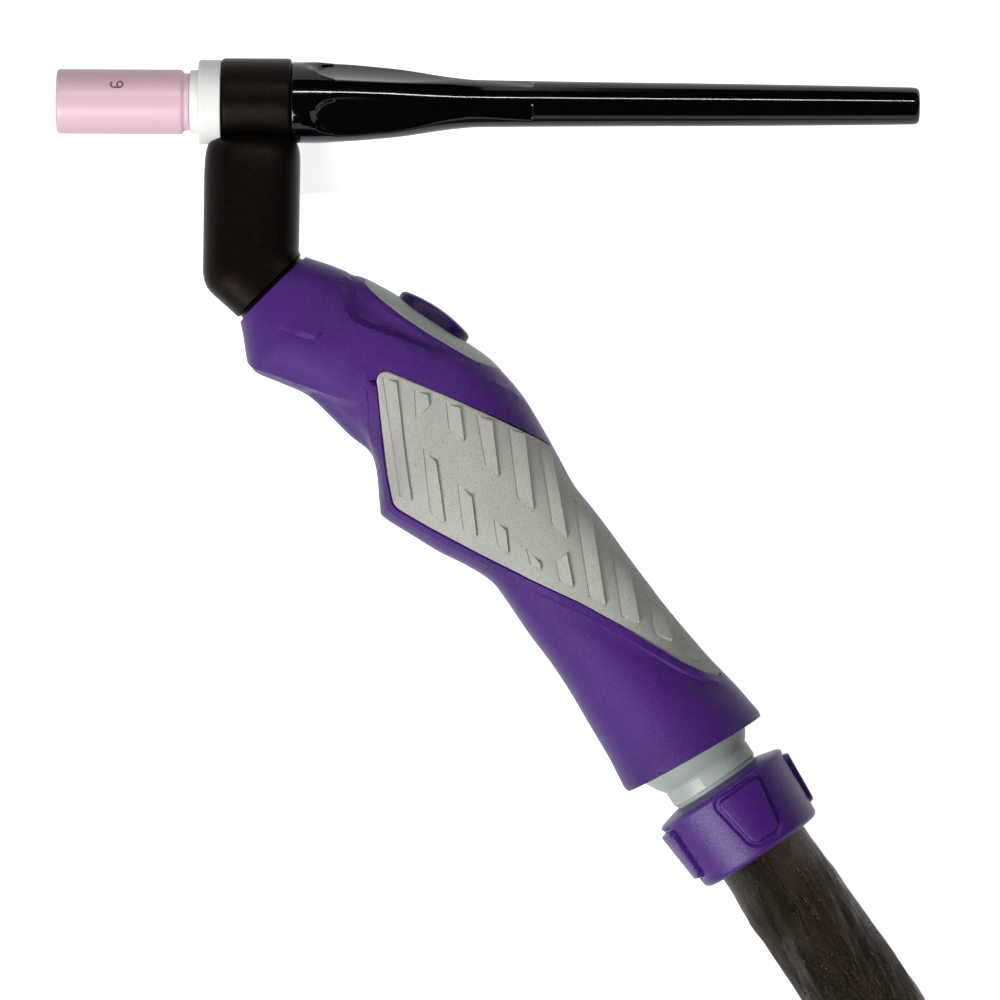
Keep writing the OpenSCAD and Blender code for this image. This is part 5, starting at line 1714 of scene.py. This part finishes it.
class TORCH_OT_knuckle(bpy.types.Operator):
    """Make the ball stem and the clamp nut"""

    bl_idname = "torch.knuckle"
    bl_label = "Knuckle"

    def execute(self, context):
        s = context.scene.torch_knuckle
        ball = s.ball_diameter / MM / 2
        arc = ring_of(ball, 125, 49.5, 40)
        corners = [
            (10.45, 11.75), (10.9, STEM_R), (14.3, STEM_R), (14.5, 11.55), (15.2, 11.4), (27, 11.4),
            (27, 7.5), (-9, 7.5),
        ]
        rest = soft([arc[-1]] + corners, [0, 0.15, 0.15, 0.2, 0.1, 0, 0.3, 0.3, 0])
        rings = fine(arc[:-1] + rest, 0.9) + [arc[0]]
        stem = turned("ball_and_stem", rings[:-1], BALL, STEM_AXIS, steps=192, shape=self.parting, loop=True)
        done(stem, "cable", stem_finish(), "stem_grey", "ball_stem", degrees=30)

        r, far = s.nut_diameter / MM / 2, 15.4 + s.nut_length / MM
        corners = [
            (15.4, 11.8), (15.4, 12.6), (16.6, 17.3), (17.3, r), (far - 0.9, r - 1.4), (far, r - 2.3),
            (far, 13.1),
            (34, 13.1), (34, 14.4), (27.6, 14.4), (27.6, 11.5), (16, 11.5),
        ]
        rounding = [0.2, 0.4, 0.6, 0.6, 0.7, 0.8, 0.3, 0.1, 0.1, 0.1, 0.1, 0.2]
        outline = soft(corners, rounding, closed=True)
        rings = []
        for a, b in zip(outline, outline[1:] + outline[:1]):
            rings += fine([a, b], 0.3 if min(a[1], b[1]) > NUT_SKIN_R else 1.0)[:-1]
        self.lug = s.lug_height / MM
        nut = turned("clamp_nut_body", rings, BALL, STEM_AXIS, steps=640, shape=self.lugs, loop=True)
        finish = nylon("Nylon, clamp nut", s.nut_colour, depth=0.12, shine=0.42)
        done(nut, "nut", finish, "nut_purple", "clamp_nut", degrees=30)

        for name, code, grain, depth, spread, rough, ior, nodes in (
            ("Acetal, white", "#D6D6D1", 0.4, 0.02, 0.05, (0.35, 0.45), 1.48, ["ball_seat"]),
            ("Nylon, natural", "#CCC6B6", 0.4, 0.03, 0.06, (0.4, 0.5), 1.53, ["clamp_ring"]),
            ("Polyamide, switch body", "#1C1C1E", 0.35, 0.03, 0.12, (0.4, 0.5), 1.5,
             ["switch_body", "neck_clamp"]),
            ("Polyamide, plunger", "#B23F38", 0.35, 0.02, 0.08, (0.35, 0.45), 1.5, ["switch_plunger"]),
        ):
            repaint(moulded(name, srgb(code), grain, depth, spread=spread, rough=rough, IOR=ior), *nodes)
        repaint(metal("Spring wire, drawn", srgb("#9A9CA0"), 0.25), "button_spring")
        insulation = moulded("Wire insulation, black", srgb("#161618"), 0.5, 0.02, rough=(0.35, 0.5))
        rubber = hose_rubber("Rubber, inner hose", srgb("#202124"), 1.6)
        self.flexible("inner_hose", "hose_black", HOSE_PATH, -1.5, 5.0, rubber)
        self.flexible("switch_wires", "wire", WIRES_PATH, 5.3, 1.3, insulation)
        return {"FINISHED"}

    @staticmethod
    def flexible(node, slot, path, off_axis, radius, finish):
        """A hose or wire in two lengths: one stays in the handle, the other, through the ball, hangs on no
        body.
        """
        side = np.array([-STEM_AXIS[1], STEM_AXIS[0], 0])
        front = to_torch(np.array([(u, v, 0) for u, v in path]))
        rear = [BALL + off_axis * side + s * STEM_AXIS for s in (-12, -4, 8, 18, 27)]
        line = spline(list(front) + rear, 1.5)
        share = (line - BALL) @ STEM_AXIS
        cut = int(np.argmax(share > -24))
        fixed = tube(node + "_in_handle", line[: cut + 1], radius, sides=20)
        done(fixed, "handle", finish, slot, node, degrees=60)
        bent = tube(node + "_through_ball", line[cut:], radius, sides=20)
        done(bent, None, finish, slot, node, degrees=60)
        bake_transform(bent)

    @staticmethod
    def parting(d, r, a):
        """A fine mould line along the stem's visible side."""
        away = np.abs((np.degrees(a) - PARTING_TURN + 180) % 360 - 180) * math.pi / 180 * STEM_R
        line = np.clip(1 - away / 0.35, 0, 1) * (r > 11.8) * (d > 10.9) * (d < 14.4)
        return d, r + 0.12 * line

    def lugs(self, d, r, a):
        """Four tapered lugs with rounded corners, each standing in a shallow moat on the nut's outside."""
        turn = (np.degrees(a) - LUG_TURN + 45) % 90 - 45
        across = np.abs(np.radians(turn)) * NUT_R
        share = np.clip((d - LUG_FROM) / (LUG_TO - LUG_FROM), 0, 1)
        half = LUG_HALF[0] + (LUG_HALF[1] - LUG_HALF[0]) * share
        side, end = half - across, np.minimum(d - LUG_FROM, LUG_TO - d)
        round_in = LUG_CORNER - np.hypot(*(np.clip(LUG_CORNER - edge, 0, None) for edge in (side, end)))
        into = np.where((side < LUG_CORNER) & (end < LUG_CORNER), round_in, np.minimum(side, end))
        t = np.clip(into / 0.6, 0, 1)
        rise = np.sqrt(np.clip(1 - (1 - t) ** 2, 0, 1))
        moat = ease((into + MOAT_W + 0.5) / 0.6) * (into < 0.6) * (1 - rise)
        moat = moat * ease((d - 17.3) / 0.6)
        return d, r + np.where(r > NUT_SKIN_R, self.lug * rise - MOAT_D * moat, 0)


# ---------------------------------------------------------------- panel and main

STEPS = (
    TORCH_OT_stage,
    TORCH_OT_cable,
    TORCH_OT_shells,
    TORCH_OT_panels,
    TORCH_OT_switch,
    TORCH_OT_cup,
    TORCH_OT_shield,
    TORCH_OT_head,
    TORCH_OT_cap,
    TORCH_OT_knuckle,
)


class TORCH_PT_pieces(bpy.types.Panel):
    """The torch's sizes, colours and pieces"""

    bl_label = "TIG torch"
    bl_idname = "TORCH_PT_pieces"
    bl_space_type = "VIEW_3D"
    bl_region_type = "UI"
    bl_category = "Torch"

    def draw(self, context):
        for name in ("torch_front", "torch_handle", "torch_knuckle", "torch_cable", "torch_stage"):
            box = self.layout.box()
            group = getattr(context.scene, name)
            for prop in group.__annotations__:
                box.prop(group, prop)
        for step in STEPS:
            self.layout.operator(step.bl_idname)


GROUPS = {
    "torch_front": TorchFront,
    "torch_handle": TorchHandle,
    "torch_knuckle": TorchKnuckle,
    "torch_cable": TorchCable,
    "torch_stage": TorchStage,
}


def register():
    for made in (*GROUPS.values(), *STEPS, TORCH_PT_pieces):
        bpy.utils.register_class(made)
    for name, group in GROUPS.items():
        setattr(bpy.types.Scene, name, PointerProperty(type=group))


def unregister():
    for name in GROUPS:
        delattr(bpy.types.Scene, name)
    for made in (TORCH_PT_pieces, *reversed(STEPS), *reversed(GROUPS.values())):
        bpy.utils.unregister_class(made)


def main():
    register()
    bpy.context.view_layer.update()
    for step in STEPS:
        group, name = step.bl_idname.split(".")
        getattr(getattr(bpy.ops, group), name)()


if __name__ == "__main__":
    main()
